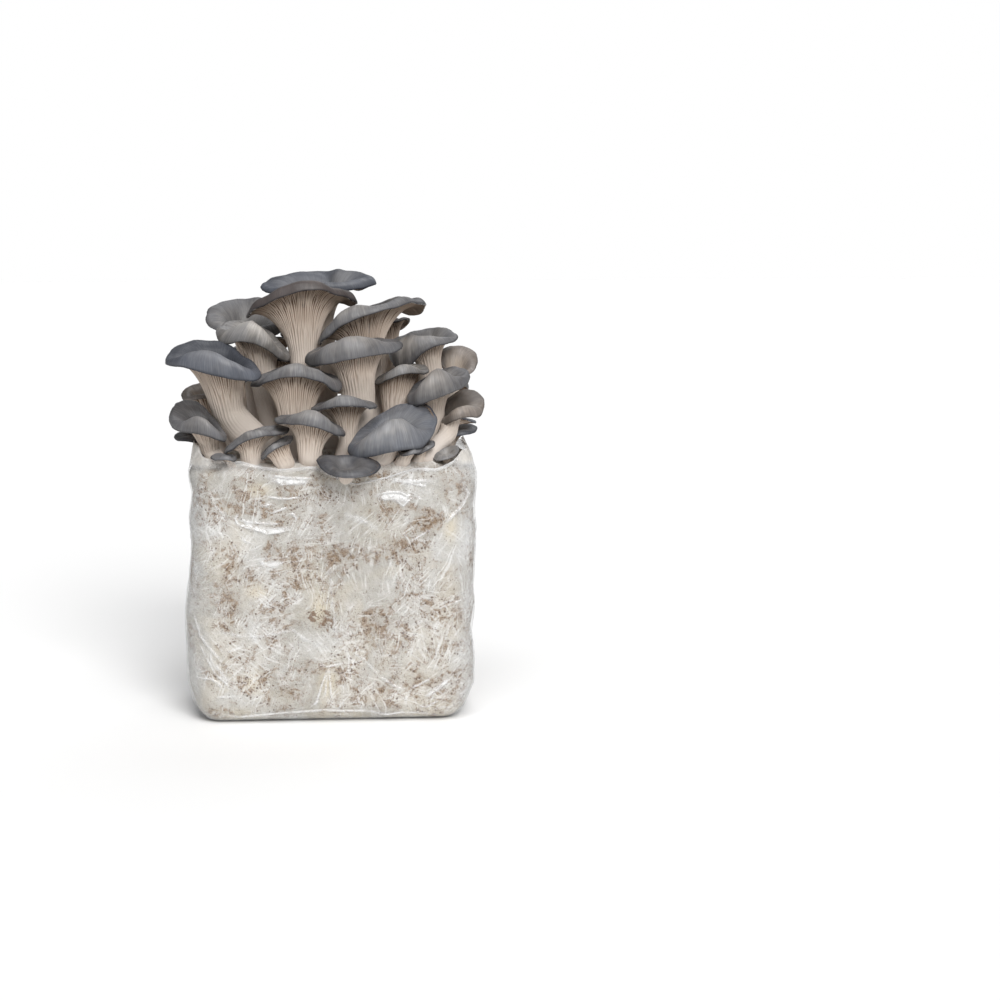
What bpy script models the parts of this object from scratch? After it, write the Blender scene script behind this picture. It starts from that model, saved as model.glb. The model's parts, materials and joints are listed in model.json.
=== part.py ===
"""Oyster mushroom grow kit: a block of colonised sawdust in a clear film bag, with grey oyster
mushrooms growing out of its open top.

The kit stands on z = 0 with the bag's bottom centred on the origin. +X is the kit's right as it
faces the viewer, +Y its back, +Z up.
"""

import math
from dataclasses import dataclass

import bmesh
import bpy
from mathutils import Vector

MM = 0.001

# The bag: driving dimensions in metres
BAG_WIDTH = 0.208
BAG_DEPTH = 0.130
BAG_SHOULDER = 0.1861  # where the film ends at the front, level with the block's top
FILM = 0.0005
GAP = 0.0003  # between touching pieces
CORNER_RADIUS = 0.026  # upright corners of the bag
CORNER_SEGMENTS = 4
BOTTOM_RADIUS = 0.016
BOTTOM_SEGMENTS = 3
SHOULDER_RADIUS = 0.007
SHOULDER_SEGMENTS = 2

# The film's cut edge: how far it stands above the shoulder on each side, and leans inwards
COLLAR_SIDES = 0.012
COLLAR_FRONT = 0.0008
COLLAR_BACK = 0.002
COLLAR_LEAN = 0.27  # how far the film leans inwards above the block's shoulder, by its height
# The dip in the front edge that the lowest mushroom grows through
DIP_CENTRE = 0.012
DIP_HALF_WIDTH = 0.030
DIP_DEPTH = 0.0125

BLOCK_INSET = FILM + GAP
BLOCK_TOP = 0.1855
FOOT_LEVEL = BLOCK_TOP + GAP

# The shape of a mushroom, as lengths in millimetres and as shares of its own size
STEM_BEND = 0.36  # how long the stem keeps its direction at each end, as a share of its length
FLESH_LEAST, FLESH_SHARE = 1.6, 0.025  # thickness under the crest, by the cap's width
INSET_DROOP, INSET_REACH, INSET_LEAST = 0.42, 0.07, 0.8  # from the rim in to the crest
GILLS_RISE, GILLS_SPREAD, GILLS_ARRIVAL = 0.40, 0.12, 0.34
BOWL_START, BOWL_FLOOR = 0.30, 0.38
HEART_RISE, HEART_STEM = 0.34, 0.5  # height of the bowl's floor above the throat
WAVE_SPREAD = 1.3  # how far a wave moves the rim outwards, by its height
STEPS = {"large": 14, "medium": 12, "small": 10, "bud": 8}  # faces round a mushroom


@dataclass
class Mushroom:
    """One mushroom, in millimetres. Its rim is the closed curve through four points of it: its
    left, right, front and back. The droop is how far the rim hangs below the crest there. A lobe
    is an angle round the rim and a half width, in degrees, and how far the rim and the crest rise
    and the rim spreads there."""

    name: str
    size: str
    foot: tuple  # x and y where it leaves the block, and z for one that leaves its front edge
    throat: tuple  # where the stem opens into the cap
    stem: tuple  # radius at the foot and at the throat
    left: tuple
    right: tuple
    front: tuple
    back: tuple
    droop: tuple = (3, 3, 4, 2)  # left, right, front, back
    waves: tuple = (3, 0.6, 0)  # number round the rim, height, and turn in degrees
    lobes: tuple = ()


MUSHROOMS = [
    Mushroom("mushroom_crown_front", "large", foot=(-18, 8), throat=(-17, 12, 264), stem=(10, 9.3),
             left=(-59, 8, 286), right=(22, 12, 299), front=(-18, -18, 307), back=(-16, 34, 302),
             droop=(5, 5, 8, 4)),
    Mushroom("mushroom_crown_back", "large", foot=(-2, 34), throat=(-4, 44, 280), stem=(9, 8),
             left=(-50, 50, 306), right=(37, 46, 309), front=(-8, 34, 303), back=(-4, 76, 315),
             droop=(4, 6, 6, 3), lobes=((-28, 22, -1, 3, 2),)),
    Mushroom("mushroom_upper_left_back", "medium", foot=(-47, 32), throat=(-60, 36, 256), stem=(7, 7),
             left=(-91, 36, 286), right=(-36, 44, 284), front=(-68, 24, 278), back=(-60, 62, 297),
             droop=(5, 3, 6, 2)),
    Mushroom("mushroom_upper_left", "large", foot=(-38, 6), throat=(-48, 5, 254), stem=(9, 10),
             left=(-82, 6, 277), right=(-28, -2, 256), front=(-56, -20, 271), back=(-54, 18, 281),
             droop=(6, 8, 11, 3)),
    Mushroom("mushroom_upper_right", "large", foot=(32, 14), throat=(36, 20, 262), stem=(8, 7.5),
             left=(-8, 2, 267), right=(72, 22, 296), front=(30, -14, 288), back=(36, 46, 293),
             droop=(6, 4, 11, 3), lobes=((240, 32, 3, 4, 0), (283, 24, 0, -6, -2), (318, 24, 1, 3, 2))),
    Mushroom("mushroom_big_left", "large", foot=(-50, -20), throat=(-73, -27, 226), stem=(13, 12),
             left=(-117, -30, 256), right=(-47, -48, 244.5), front=(-80, -58, 249), back=(-84, 3, 271),
             droop=(6, 12, 22, 3), lobes=((215, 34, 6, -2, 0),)),
    Mushroom("mushroom_centre", "large", foot=(-20, -22), throat=(-24, -24, 214), stem=(11, 12),
             left=(-57, -22, 239.5), right=(10, -28, 240), front=(-24, -50, 248), back=(-24, -2, 250),
             droop=(4, 6, 8, 4)),
    Mushroom("mushroom_right_of_centre", "large", foot=(20, -10), throat=(22, -12, 238), stem=(11, 11),
             left=(-17, -18, 255), right=(55, -12, 267), front=(20, -42, 260), back=(18, 5, 269),
             droop=(9, 6, 15, 3)),
    Mushroom("mushroom_right_folded", "medium", foot=(66, 24), throat=(75, 25, 250), stem=(7.5, 7.3),
             left=(45, 24, 256), right=(97, 28, 270), front=(74, 2, 261), back=(70, 52, 271),
             droop=(8, 4, 10, 3), lobes=((232, 30, -1, -5, -1),)),
    Mushroom("mushroom_right_back", "small", foot=(88, 30), throat=(92, 38, 231), stem=(6, 5.7),
             left=(84, 40, 252), right=(111, 38, 251), front=(98, 20, 250), back=(98, 58, 262),
             droop=(3, 3, 6, 2)),
    Mushroom("mushroom_right_inner", "medium", foot=(44, -6), throat=(49, -4, 222), stem=(6.5, 6.2),
             left=(33, -10, 239.5), right=(74, -4, 247.5), front=(54, -25, 247), back=(57, 13, 250),
             droop=(4, 4, 7, 3)),
    Mushroom("mushroom_right_outer", "medium", foot=(67, -8), throat=(77, -8, 222), stem=(8, 7.8),
             left=(56, -22, 227), right=(104, -4, 242.5), front=(80, -36, 231), back=(82, 11, 247),
             droop=(10, 8, 18, 3)),
    Mushroom("mushroom_right_leaning", "medium", foot=(71, -46), throat=(88, -13, 209), stem=(5, 6.5),
             left=(79, 2, 208), right=(115, 2, 223), front=(96, -26, 213), back=(98, 30, 229),
             droop=(2, 3, 4, 3)),
    Mushroom("mushroom_centre_small", "small", foot=(11, -33), throat=(13.5, -39, 206), stem=(6, 5.9),
             left=(-13, -46, 224.5), right=(35, -44, 226), front=(11, -62, 228), back=(11, -26, 229),
             droop=(4, 4, 8, 3)),
    Mushroom("mushroom_front_right_big", "large", foot=(34, -50), throat=(40, -52, 198), stem=(9, 9),
             left=(15, -57, 198.5), right=(77, -48, 215.5), front=(44, -80, 199), back=(56, -20, 224),
             droop=(10, 12, 21, 3)),
    Mushroom("mushroom_front_centre", "medium", foot=(-13, -48), throat=(-14, -54, 197), stem=(9, 9),
             left=(-39, -56, 218), right=(12, -56, 207), front=(-14, -78, 216), back=(-14, -39, 219),
             droop=(4, 7, 11, 3)),
    Mushroom("mushroom_front_left", "medium", foot=(-53, -49), throat=(-56, -51, 194), stem=(7.5, 7.5),
             left=(-75, -54, 195), right=(-28, -56, 210.5), front=(-54, -72, 206.5), back=(-50, -43, 211),
             droop=(4, 3, 6, 2)),
    Mushroom("mushroom_front_left_small", "bud", foot=(-35, -52), throat=(-35, -56, 193), stem=(5.5, 5),
             left=(-48, -64, 191.5), right=(-25, -60, 205), front=(-38, -78, 200), back=(-36, -50, 204),
             droop=(3, 2, 4, 2)),
    Mushroom("mushroom_left_low", "medium", foot=(-79, -44), throat=(-85, -42, 197), stem=(6.5, 6.5),
             left=(-114, -40, 217), right=(-73, -51, 204.5), front=(-92, -66, 208.5), back=(-97, -19, 227),
             droop=(6, 8, 12, 3)),
    Mushroom("mushroom_left_back", "small", foot=(-80, 2), throat=(-88, 6, 213), stem=(6, 5.7),
             left=(-108, 8, 229), right=(-78, 6, 233), front=(-94, -13, 229), back=(-94, 26, 237.5),
             droop=(3, 3, 5, 2)),
    Mushroom("mushroom_left_dark", "bud", foot=(-86, -18), throat=(-93, -20, 198), stem=(3.5, 3.5),
             left=(-112, -22, 205), right=(-90, -20, 202), front=(-101, -36, 203), back=(-101, -6, 206),
             droop=(2, 2, 3, 2)),
    Mushroom("mushroom_left_bud", "bud", foot=(-69, -57), throat=(-70, -58, 189.5), stem=(3, 2.8),
             left=(-84, -65, 193), right=(-65, -65, 191.5), front=(-72, -73, 192), back=(-73, -54, 194),
             droop=(2, 2, 3, 2)),
    Mushroom("mushroom_lowest", "medium", foot=(12, -64.4, 180), throat=(12, -75, 182), stem=(5, 5.5),
             left=(-8, -80, 189), right=(36, -80, 188.5), front=(14, -94, 181.5), back=(5, -62, 194.5),
             droop=(2, 2, 2, 2)),
    Mushroom("mushroom_right_low", "bud", foot=(83, 2), throat=(89, 6, 194), stem=(4.5, 4.4),
             left=(83, 10, 198), right=(110, 10, 203.5), front=(96, -7, 200), back=(96, 28, 204),
             droop=(2, 2, 4, 2)),
    Mushroom("mushroom_right_bud", "bud", foot=(87, -27), throat=(87, -29, 189.5), stem=(3, 3),
             left=(80, -25, 191), right=(97, -31, 193), front=(89, -40, 189.5), back=(88, -17, 194.5),
             droop=(2, 2, 2, 2)),
    Mushroom("mushroom_front_right_bud", "bud", foot=(51, -55), throat=(54, -60, 191.5), stem=(4.5, 4.2),
             left=(49, -65, 194.5), right=(67, -61, 197.5), front=(59, -73, 195), back=(58, -51, 198),
             droop=(2, 2, 3, 2)),
    Mushroom("mushroom_front_right_bud_2", "bud", foot=(62, -48), throat=(65, -49, 191), stem=(3.5, 3.5),
             left=(60, -49, 192), right=(76, -51, 201), front=(70, -59, 196), back=(67, -41, 198),
             droop=(2, 2, 3, 2)),
    Mushroom("mushroom_inner_left", "bud", foot=(-34, 27), throat=(-37, 28, 246), stem=(4.5, 4.5),
             left=(-48, 27, 253), right=(-26, 30, 255), front=(-37, 16, 254), back=(-37, 40, 256),
             droop=(2, 2, 4, 2)),
    Mushroom("mushroom_inner_low_left", "bud", foot=(-62, 16), throat=(-65, 15, 222), stem=(5, 5),
             left=(-76, 14, 238), right=(-58, 15, 241), front=(-67, 3, 239), back=(-67, 25, 242),
             droop=(2, 2, 4, 2)),
    Mushroom("mushroom_rear_crown", "medium", foot=(-8, 50), throat=(-8, 64, 250), stem=(8, 8),
             left=(-38, 74, 270), right=(20, 76, 279), front=(-8, 55, 280), back=(-6, 98, 263),
             droop=(6, 4, 2, 13), waves=(3, 1.5, 60)),
    Mushroom("mushroom_rear_upper_left", "medium", foot=(-42, 50), throat=(-54, 60, 236), stem=(7.5, 8),
             left=(-84, 64, 254), right=(-30, 70, 262), front=(-58, 48, 264), back=(-56, 92, 243),
             droop=(8, 5, 2, 16), waves=(4, 1.2, 0)),
    Mushroom("mushroom_rear_upper_right", "medium", foot=(36, 46), throat=(44, 56, 254), stem=(7.5, 7.5),
             left=(25, 62, 280), right=(62, 60, 279), front=(44, 46, 281), back=(46, 86, 270),
             droop=(4, 5, 2, 11), waves=(3, 1.2, 180)),
    Mushroom("mushroom_rear_right", "medium", foot=(66, 50), throat=(76, 62, 214), stem=(7.5, 7.5),
             left=(54, 72, 238), right=(106, 66, 229), front=(80, 50, 241), back=(82, 94, 220),
             droop=(5, 8, 2, 17), waves=(3, 1.5, 20)),
    Mushroom("mushroom_rear_left", "medium", foot=(-77, 32), throat=(-89, 40, 204), stem=(7, 7),
             left=(-114, 42, 216), right=(-68, 54, 223), front=(-90, 24, 225), back=(-92, 72, 208),
             droop=(8, 4, 2, 14), waves=(4, 1.2, 90)),
    Mushroom("mushroom_rear_centre", "medium", foot=(20, 53), throat=(24, 67, 214), stem=(7.5, 8),
             left=(-3, 82, 228), right=(50, 80, 237), front=(24, 65, 241), back=(26, 102, 221),
             droop=(8, 6, 2, 18), waves=(3, 1.5, 140)),
    Mushroom("mushroom_rear_low_left", "medium", foot=(-28, 53), throat=(-31, 64, 202), stem=(7, 7.5),
             left=(-58, 84, 216), right=(-8, 84, 210), front=(-33, 66, 220), back=(-35, 102, 202),
             droop=(4, 7, 2, 13), waves=(3, 1.2, 30)),
    Mushroom("mushroom_rear_low_right", "small", foot=(52, 55), throat=(55, 64, 199), stem=(6, 6.5),
             left=(31, 78, 206), right=(72, 79, 208), front=(56, 62, 215), back=(54, 98, 200),
             droop=(5, 4, 2, 11), waves=(3, 1.0, 250)),
    Mushroom("mushroom_rear_corner_left", "small", foot=(-68, 53), throat=(-76, 62, 198), stem=(5, 5),
             left=(-95, 68, 204), right=(-60, 70, 207), front=(-78, 54, 208), back=(-78, 88, 200),
             droop=(3, 3, 2, 6)),
    Mushroom("mushroom_rear_corner_right", "bud", foot=(85, 43), throat=(91, 48, 199), stem=(4.2, 4.2),
             left=(84, 58, 204), right=(112, 54, 203), front=(98, 43, 207), back=(98, 70, 201),
             droop=(3, 3, 2, 5)),
    Mushroom("mushroom_rear_bud", "bud", foot=(4, 57), throat=(2, 64, 197), stem=(3.8, 4),
             left=(-13, 76, 202), right=(11, 76, 203), front=(-1, 64, 205), back=(-1, 88, 199),
             droop=(3, 3, 2, 5)),
]


def clear_scene():
    for thing in list(bpy.data.objects):
        bpy.data.objects.remove(thing, do_unlink=True)


def material(name, colour, roughness, alpha=1.0):
    made = bpy.data.materials.new(name)
    made.use_nodes = True
    shader = made.node_tree.nodes["Principled BSDF"]
    shader.inputs["Base Color"].default_value = (*colour, 1.0)
    shader.inputs["Roughness"].default_value = roughness
    shader.inputs["Metallic"].default_value = 0.0
    shader.inputs["Alpha"].default_value = alpha
    return made


def finish(name, body, surface, collection):
    """Turns a bmesh into a smooth-shaded object of the kit."""
    bmesh.ops.recalc_face_normals(body, faces=body.faces)
    mesh = bpy.data.meshes.new(name)
    body.to_mesh(mesh)
    body.free()
    mesh.materials.append(surface)
    mesh.shade_smooth()
    mesh.set_sharp_from_angle(angle=math.radians(50))
    made = bpy.data.objects.new(name, mesh)
    collection.objects.link(made)
    return made


# ---- the block and its bag ----


def bevel(body, edges, radius, segments):
    bmesh.ops.bevel(body, geom=edges, offset=radius, segments=segments, profile=0.5,
                    affect="EDGES", clamp_overlap=True)


def is_upright(edge):
    low, high = sorted(vert.co.z for vert in edge.verts)
    flat = (edge.verts[0].co - edge.verts[1].co).to_2d().length
    return flat < MM and high - low > MM


def lies_at(edge, height):
    return all(abs(vert.co.z - height) < 0.1 * MM for vert in edge.verts)


def upright_box(width, depth, bottom, top, corner):
    """A box with rounded upright corners and a rounded bottom edge."""
    body = bmesh.new()
    bmesh.ops.create_cube(body, size=1)
    bmesh.ops.scale(body, vec=(width, depth, top - bottom), verts=body.verts)
    bmesh.ops.translate(body, vec=(0, 0, (top + bottom) / 2), verts=body.verts)
    bevel(body, [edge for edge in body.edges if is_upright(edge)], corner, CORNER_SEGMENTS)
    rounding = BOTTOM_RADIUS - (BAG_WIDTH - width) / 2
    bevel(body, [edge for edge in body.edges if lies_at(edge, bottom)], rounding, BOTTOM_SEGMENTS)
    return body


def make_block(collection):
    body = upright_box(BAG_WIDTH - 2 * BLOCK_INSET, BAG_DEPTH - 2 * BLOCK_INSET, BLOCK_INSET,
                       BLOCK_TOP, CORNER_RADIUS - BLOCK_INSET)
    rim = [edge for edge in body.edges if lies_at(edge, BLOCK_TOP)]
    bevel(body, rim, SHOULDER_RADIUS, SHOULDER_SEGMENTS)
    return finish("substrate_block", body, material("mycelium", (0.62, 0.57, 0.50), 0.85), collection)


def collar_height(x, y):
    """How far the film's cut edge stands above the shoulder at this place."""
    side = min(1.0, abs(x) / (BAG_WIDTH / 2)) ** 6
    across = COLLAR_FRONT if y < 0 else COLLAR_BACK
    height = across + (COLLAR_SIDES - across) * side
    from_dip = abs(x - DIP_CENTRE) / DIP_HALF_WIDTH
    if y < 0 and from_dip < 1:
        height -= DIP_DEPTH * (1 + math.cos(math.pi * from_dip)) / 2
    return height


def make_bag(collection):
    """The film: a box with no lid, whose upper edge rises to the cut edge, given its thickness."""
    body = upright_box(BAG_WIDTH, BAG_DEPTH, 0.0, BAG_SHOULDER, CORNER_RADIUS)
    lid = [face for face in body.faces if all(lies_at(edge, BAG_SHOULDER) for edge in face.edges)]
    bmesh.ops.delete(body, geom=lid, context="FACES_ONLY")
    for x in (DIP_CENTRE - DIP_HALF_WIDTH, DIP_CENTRE - DIP_HALF_WIDTH / 2, DIP_CENTRE,
              DIP_CENTRE + DIP_HALF_WIDTH / 2, DIP_CENTRE + DIP_HALF_WIDTH):
        bmesh.ops.bisect_plane(body, geom=body.verts[:] + body.edges[:] + body.faces[:],
                               plane_co=(x, 0, 0), plane_no=(1, 0, 0))
    below_dip = BAG_SHOULDER - DIP_DEPTH - 0.003
    lean_start = BAG_SHOULDER - SHOULDER_RADIUS
    for height in (below_dip, lean_start):
        bmesh.ops.bisect_plane(body, geom=body.verts[:] + body.edges[:] + body.faces[:],
                               plane_co=(0, 0, height), plane_no=(0, 0, 1))
    for vert in body.verts:
        rise = collar_height(vert.co.x, vert.co.y)
        fixed = lean_start if rise > 0 else below_dip  # only what lies above this is moved
        vert.co.z += rise * max(0.0, vert.co.z - fixed) / (BAG_SHOULDER - fixed)
        lean = COLLAR_LEAN * max(0.0, vert.co.z - lean_start) * max(0.0, rise) / COLLAR_SIDES
        inwards = vert.co.to_2d().normalized() * lean
        vert.co -= Vector((inwards.x, inwards.y, 0))
    bag = finish("bag", body, material("clear_film", (0.86, 0.87, 0.88), 0.12, 0.35), collection)
    wall = bag.modifiers.new("film thickness", "SOLIDIFY")
    wall.thickness = FILM
    wall.offset = -1.0
    wall.use_even_offset = True
    return bag


# ---- the mushrooms ----


def between(right, back, left, front, angle):
    """The smooth closed curve through four values, at 0, 90, 180 and 270 degrees."""
    mean = (right + back + left + front) / 4
    saddle = (right + left - back - front) / 4
    return (mean + (right - left) / 2 * math.cos(angle) + (back - front) / 2 * math.sin(angle)
            + saddle * math.cos(2 * angle))


def bezier(points, share):
    a, b, c, d = points
    rest = 1 - share
    return a * rest**3 + b * (3 * rest**2 * share) + c * (3 * rest * share**2) + d * share**3


def bezier_direction(points, share):
    a, b, c, d = points
    rest = 1 - share
    return ((b - a) * rest**2 + (c - b) * (2 * rest * share) + (d - c) * share**2).normalized()


class Shape:
    """Where each point of a mushroom's skin lies, by its place along the profile and round it."""

    def __init__(self, m):
        self.m = m
        self.ends = [Vector(point) for point in (m.right, m.back, m.left, m.front)]
        self.middle = sum(self.ends, Vector()) / 4
        right, back, left, front = self.ends
        self.facing = (right - left).cross(back - front).normalized()
        self.width = (right - left).length
        self.throat = Vector(m.throat)
        self.axis = ((self.middle - self.throat).normalized() + self.facing).normalized()
        self.stem = self.stem_line()
        rise = max(4.0, (self.middle - self.throat).dot(self.axis))
        self.heart = self.throat + self.axis * (HEART_RISE * rise + HEART_STEM * m.stem[1])

    def stem_line(self):
        foot = Vector((*self.m.foot, FOOT_LEVEL / MM)[:3])
        start = Vector((0, 0, 1))
        if len(self.m.foot) == 3:  # it leaves the block's rounded front edge square to it
            edge = Vector((foot.x, SHOULDER_RADIUS / MM + (BLOCK_INSET - BAG_DEPTH / 2) / MM,
                           (BLOCK_TOP - SHOULDER_RADIUS) / MM))
            start = (foot - edge).normalized()
        bend = STEM_BEND * (self.throat - foot).length
        return foot, foot + start * bend, self.throat - self.axis * bend, self.throat

    def lobe(self, angle, kind):
        """How far the lobes move the rim up (0), the crest up (1) or the rim outwards (2)."""
        moved = 0.0
        for at, half_width, *moves in self.m.lobes:
            away = math.remainder(angle - math.radians(at), math.tau) / math.radians(half_width)
            moved += moves[kind] * math.exp(-away * away)
        return moved

    def rim(self, angle):
        count, height, turn = self.m.waves
        wave = height * math.sin(count * angle + math.radians(turn))
        point = between(*self.ends, angle)
        lift = wave + self.lobe(angle, 0)
        spread = WAVE_SPREAD * wave + self.lobe(angle, 2)
        return point + self.facing * lift + self.outwards(point) * spread

    def outwards(self, point):
        away = point - self.middle
        return (away - self.facing * away.dot(self.facing)).normalized()

    def crest(self, angle):
        rim = self.rim(angle)
        left, right, front, back = self.m.droop
        droop = between(right, back, left, front, angle) + self.lobe(angle, 1) - self.lobe(angle, 0)
        droop = max(1.0, droop)
        reach = (rim - self.middle).length
        inset = max(INSET_LEAST, INSET_DROOP * droop + INSET_REACH * reach)
        return rim - self.outwards(rim) * inset + self.facing * droop

    def brow(self, angle):
        """The top of the gills, under the crest."""
        return self.crest(angle) - self.facing * (FLESH_LEAST + FLESH_SHARE * self.width)

    def on_stem(self, share, angle):
        along = bezier_direction(self.stem, share)
        across = (Vector((1, 0, 0)) - along * along.x).normalized()
        spoke = across * math.cos(angle) + along.cross(across) * math.sin(angle)
        radius = self.m.stem[0] + (self.m.stem[1] - self.m.stem[0]) * share
        return bezier(self.stem, share) + spoke * radius, spoke

    def on_gills(self, share, angle):
        start, spoke = self.on_stem(1, angle)
        end = self.brow(angle)
        span = (end - start).length
        return bezier((start, start + (self.axis + spoke * GILLS_SPREAD) * (GILLS_RISE * span),
                       end - self.outwards(end) * (GILLS_ARRIVAL * span), end), share)

    def on_bowl(self, share, angle):
        crest = self.crest(angle)
        out = self.outwards(crest)
        span = (crest - self.heart).length
        return bezier((crest, crest - out * (BOWL_START * span),
                       self.heart + out * (BOWL_FLOOR * span), self.heart), share)


def make_mushroom(m, surface, collection):
    """A lathe-like sleeve from the foot up the stem, out under the cap, over its rim and back in to
    the heart of the bowl. Each ring is then moved to its place on the mushroom."""
    shape = Shape(m)
    rings = [
        lambda angle: shape.on_stem(0, angle)[0],
        lambda angle: shape.on_stem(0.5, angle)[0],
        lambda angle: shape.on_stem(1, angle)[0],
        lambda angle: shape.on_gills(0.5, angle),
        lambda angle: shape.on_gills(1, angle),
        shape.rim,
        shape.crest,
        lambda angle: shape.on_bowl(0.5, angle),
    ]
    body = bmesh.new()
    last = len(rings) + 1
    heights = range(last + 1)
    line = [body.verts.new((0 if height in (0, last) else 1, 0, height)) for height in heights]
    edges = [body.edges.new(pair) for pair in zip(line, line[1:])]
    bmesh.ops.spin(body, geom=line + edges, axis=(0, 0, 1), cent=(0, 0, 0),
                   angle=math.tau, steps=STEPS[m.size], use_merge=True)
    bmesh.ops.remove_doubles(body, verts=body.verts, dist=1e-4)
    for vert in body.verts:
        row = round(vert.co.z)
        if row == 0:
            vert.co = shape.stem[0]
        elif row == last:
            vert.co = shape.heart
        else:
            vert.co = rings[row - 1](math.atan2(vert.co.y, vert.co.x))
    bmesh.ops.scale(body, vec=(MM, MM, MM), verts=body.verts)
    return finish(m.name, body, surface, collection)


def main():
    clear_scene()
    kit = bpy.data.collections.new("oyster_mushroom_grow_kit")
    bpy.context.scene.collection.children.link(kit)
    make_block(kit)
    make_bag(kit)
    flesh = material("mushroom_flesh", (0.24, 0.23, 0.23), 0.6)
    for mushroom in MUSHROOMS:
        make_mushroom(mushroom, flesh, kit)


main()
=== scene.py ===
import json
import math
import random

import bmesh
import bpy
import numpy as np
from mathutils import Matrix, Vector, noise

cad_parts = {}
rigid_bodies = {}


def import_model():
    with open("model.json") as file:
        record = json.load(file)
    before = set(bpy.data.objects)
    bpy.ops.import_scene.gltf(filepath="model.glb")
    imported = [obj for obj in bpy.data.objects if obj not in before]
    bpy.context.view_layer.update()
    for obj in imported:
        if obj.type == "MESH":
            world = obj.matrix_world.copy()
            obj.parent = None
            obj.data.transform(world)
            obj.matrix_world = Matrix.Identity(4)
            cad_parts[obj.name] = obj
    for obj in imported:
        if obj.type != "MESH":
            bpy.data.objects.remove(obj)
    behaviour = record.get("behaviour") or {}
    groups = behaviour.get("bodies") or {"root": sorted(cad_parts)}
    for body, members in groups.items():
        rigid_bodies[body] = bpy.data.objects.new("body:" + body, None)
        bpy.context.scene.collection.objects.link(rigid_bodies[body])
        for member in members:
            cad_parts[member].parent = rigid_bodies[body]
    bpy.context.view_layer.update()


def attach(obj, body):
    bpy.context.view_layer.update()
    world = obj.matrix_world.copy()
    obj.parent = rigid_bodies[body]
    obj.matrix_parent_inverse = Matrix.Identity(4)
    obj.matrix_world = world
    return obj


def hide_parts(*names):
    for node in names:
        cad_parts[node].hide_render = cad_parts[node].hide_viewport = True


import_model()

tau = 2 * math.pi


cameraSetup = dict(lens=85, sensor=36, place=(0, -1.7268, 0.4049), heading=4.166, tilt=-8.315)

lightSetup = dict(
    skyStrength=0.21, backdrop=1.0, distance=1.0,
    # name, then in degrees the light's heading from the front to the right, its height and its
    # spread, then strength and colour
    lamps=[("topSoftbox", 4, 68, 40, 1.45, (1.0, 1.0, 1.0)),
           ("frontSoftbox", 14, 32, 26, 2.2, (1.0, 0.995, 0.985)),
           ("backSoftbox", 160, 48, 40, 0.5, (0.97, 0.98, 1.0))])


def inScene(name, data):
    made = bpy.data.objects.new(name, data)
    bpy.context.scene.collection.objects.link(made)
    return made


def headingOf(around, up):
    # The direction at an angle round from the x axis and an angle up, both in degrees.
    around, up = math.radians(around), math.radians(up)
    return Vector((math.cos(around) * math.cos(up), math.sin(around) * math.cos(up), math.sin(up)))


def makeCamera():
    ahead = headingOf(90 - cameraSetup["heading"], cameraSetup["tilt"])
    lens = bpy.data.cameras.new("kitCamera")
    lens.lens = cameraSetup["lens"]
    lens.sensor_width = cameraSetup["sensor"]
    camera = inScene("kitCamera", lens)
    camera.location = cameraSetup["place"]
    camera.rotation_euler = ahead.to_track_quat("-Z", "Y").to_euler()
    bpy.context.scene.camera = camera


def makeLights():
    world = bpy.data.worlds.new("studio")
    world.use_nodes = True
    tree = world.node_tree
    sky = tree.nodes["Background"]
    backdrop = addNode(tree, "ShaderNodeBackground", {"Strength": lightSetup["backdrop"]})
    for node in (sky, backdrop):
        node.inputs["Color"].default_value = (1, 1, 1, 1)
    sky.inputs["Strength"].default_value = lightSetup["skyStrength"]
    seen = addNode(tree, "ShaderNodeLightPath").outputs["Is Camera Ray"]
    either = addNode(tree, "ShaderNodeMixShader",
                     {0: seen, 1: sky.outputs[0], 2: backdrop.outputs[0]})
    tree.links.new(either.outputs[0], tree.nodes["World Output"].inputs["Surface"])
    bpy.context.scene.world = world
    for name, heading, rise, spread, strength, colour in lightSetup["lamps"]:
        lamp = bpy.data.lights.new(name, "SUN")
        lamp.angle = math.radians(spread)
        lamp.energy = strength
        lamp.color = colour
        source = headingOf(heading - 90, rise)
        holder = inScene(name, lamp)
        holder.location = source * lightSetup["distance"]
        holder.rotation_euler = (-source).to_track_quat("-Z", "Y").to_euler()
    bpy.context.scene.view_settings.view_transform = "Standard"


def makeFloor():
    body = bmesh.new()
    bmesh.ops.create_grid(body, x_segments=2, y_segments=2, size=6)
    mesh = meshFrom(body, "floor")
    mesh.materials.append(newMaterial("whitePaper", {
        "Base Color": (0.92, 0.92, 0.92, 1), "Roughness": 0.9, "Specular IOR Level": 0.1})[0])
    floor = inScene("floor", mesh)


def newMaterial(name, values):
    # values are numbers for the shader's inputs.
    made = bpy.data.materials.new(name)
    made.use_nodes = True
    shader = made.node_tree.nodes["Principled BSDF"]
    for key, value in values.items():
        shader.inputs[key].default_value = value
    return made, made.node_tree, shader


def addNode(tree, kind, feeds=None, **settings):
    # settings are the node's own values; feeds are numbers or links for its inputs.
    node = tree.nodes.new(kind)
    for key, value in settings.items():
        setattr(node, key, value)
    for key, value in (feeds or {}).items():
        if isinstance(value, bpy.types.NodeSocket):
            tree.links.new(value, node.inputs[key])
        else:
            node.inputs[key].default_value = value
    return node


def stepMask(tree, value, low, high):
    # 0 below low and 1 above high, smooth between.
    node = addNode(tree, "ShaderNodeMapRange", {"Value": value, "From Min": low, "From Max": high},
                   interpolation_type="SMOOTHSTEP")
    return node.outputs["Result"]


def mathOf(tree, operation, a, b, clamp=False):
    return addNode(tree, "ShaderNodeMath", {0: a, 1: b}, operation=operation,
                   use_clamp=clamp).outputs["Value"]


def times(tree, a, b):
    return mathOf(tree, "MULTIPLY", a, b)


def plus(tree, a, b):
    return mathOf(tree, "ADD", a, b)


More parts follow.
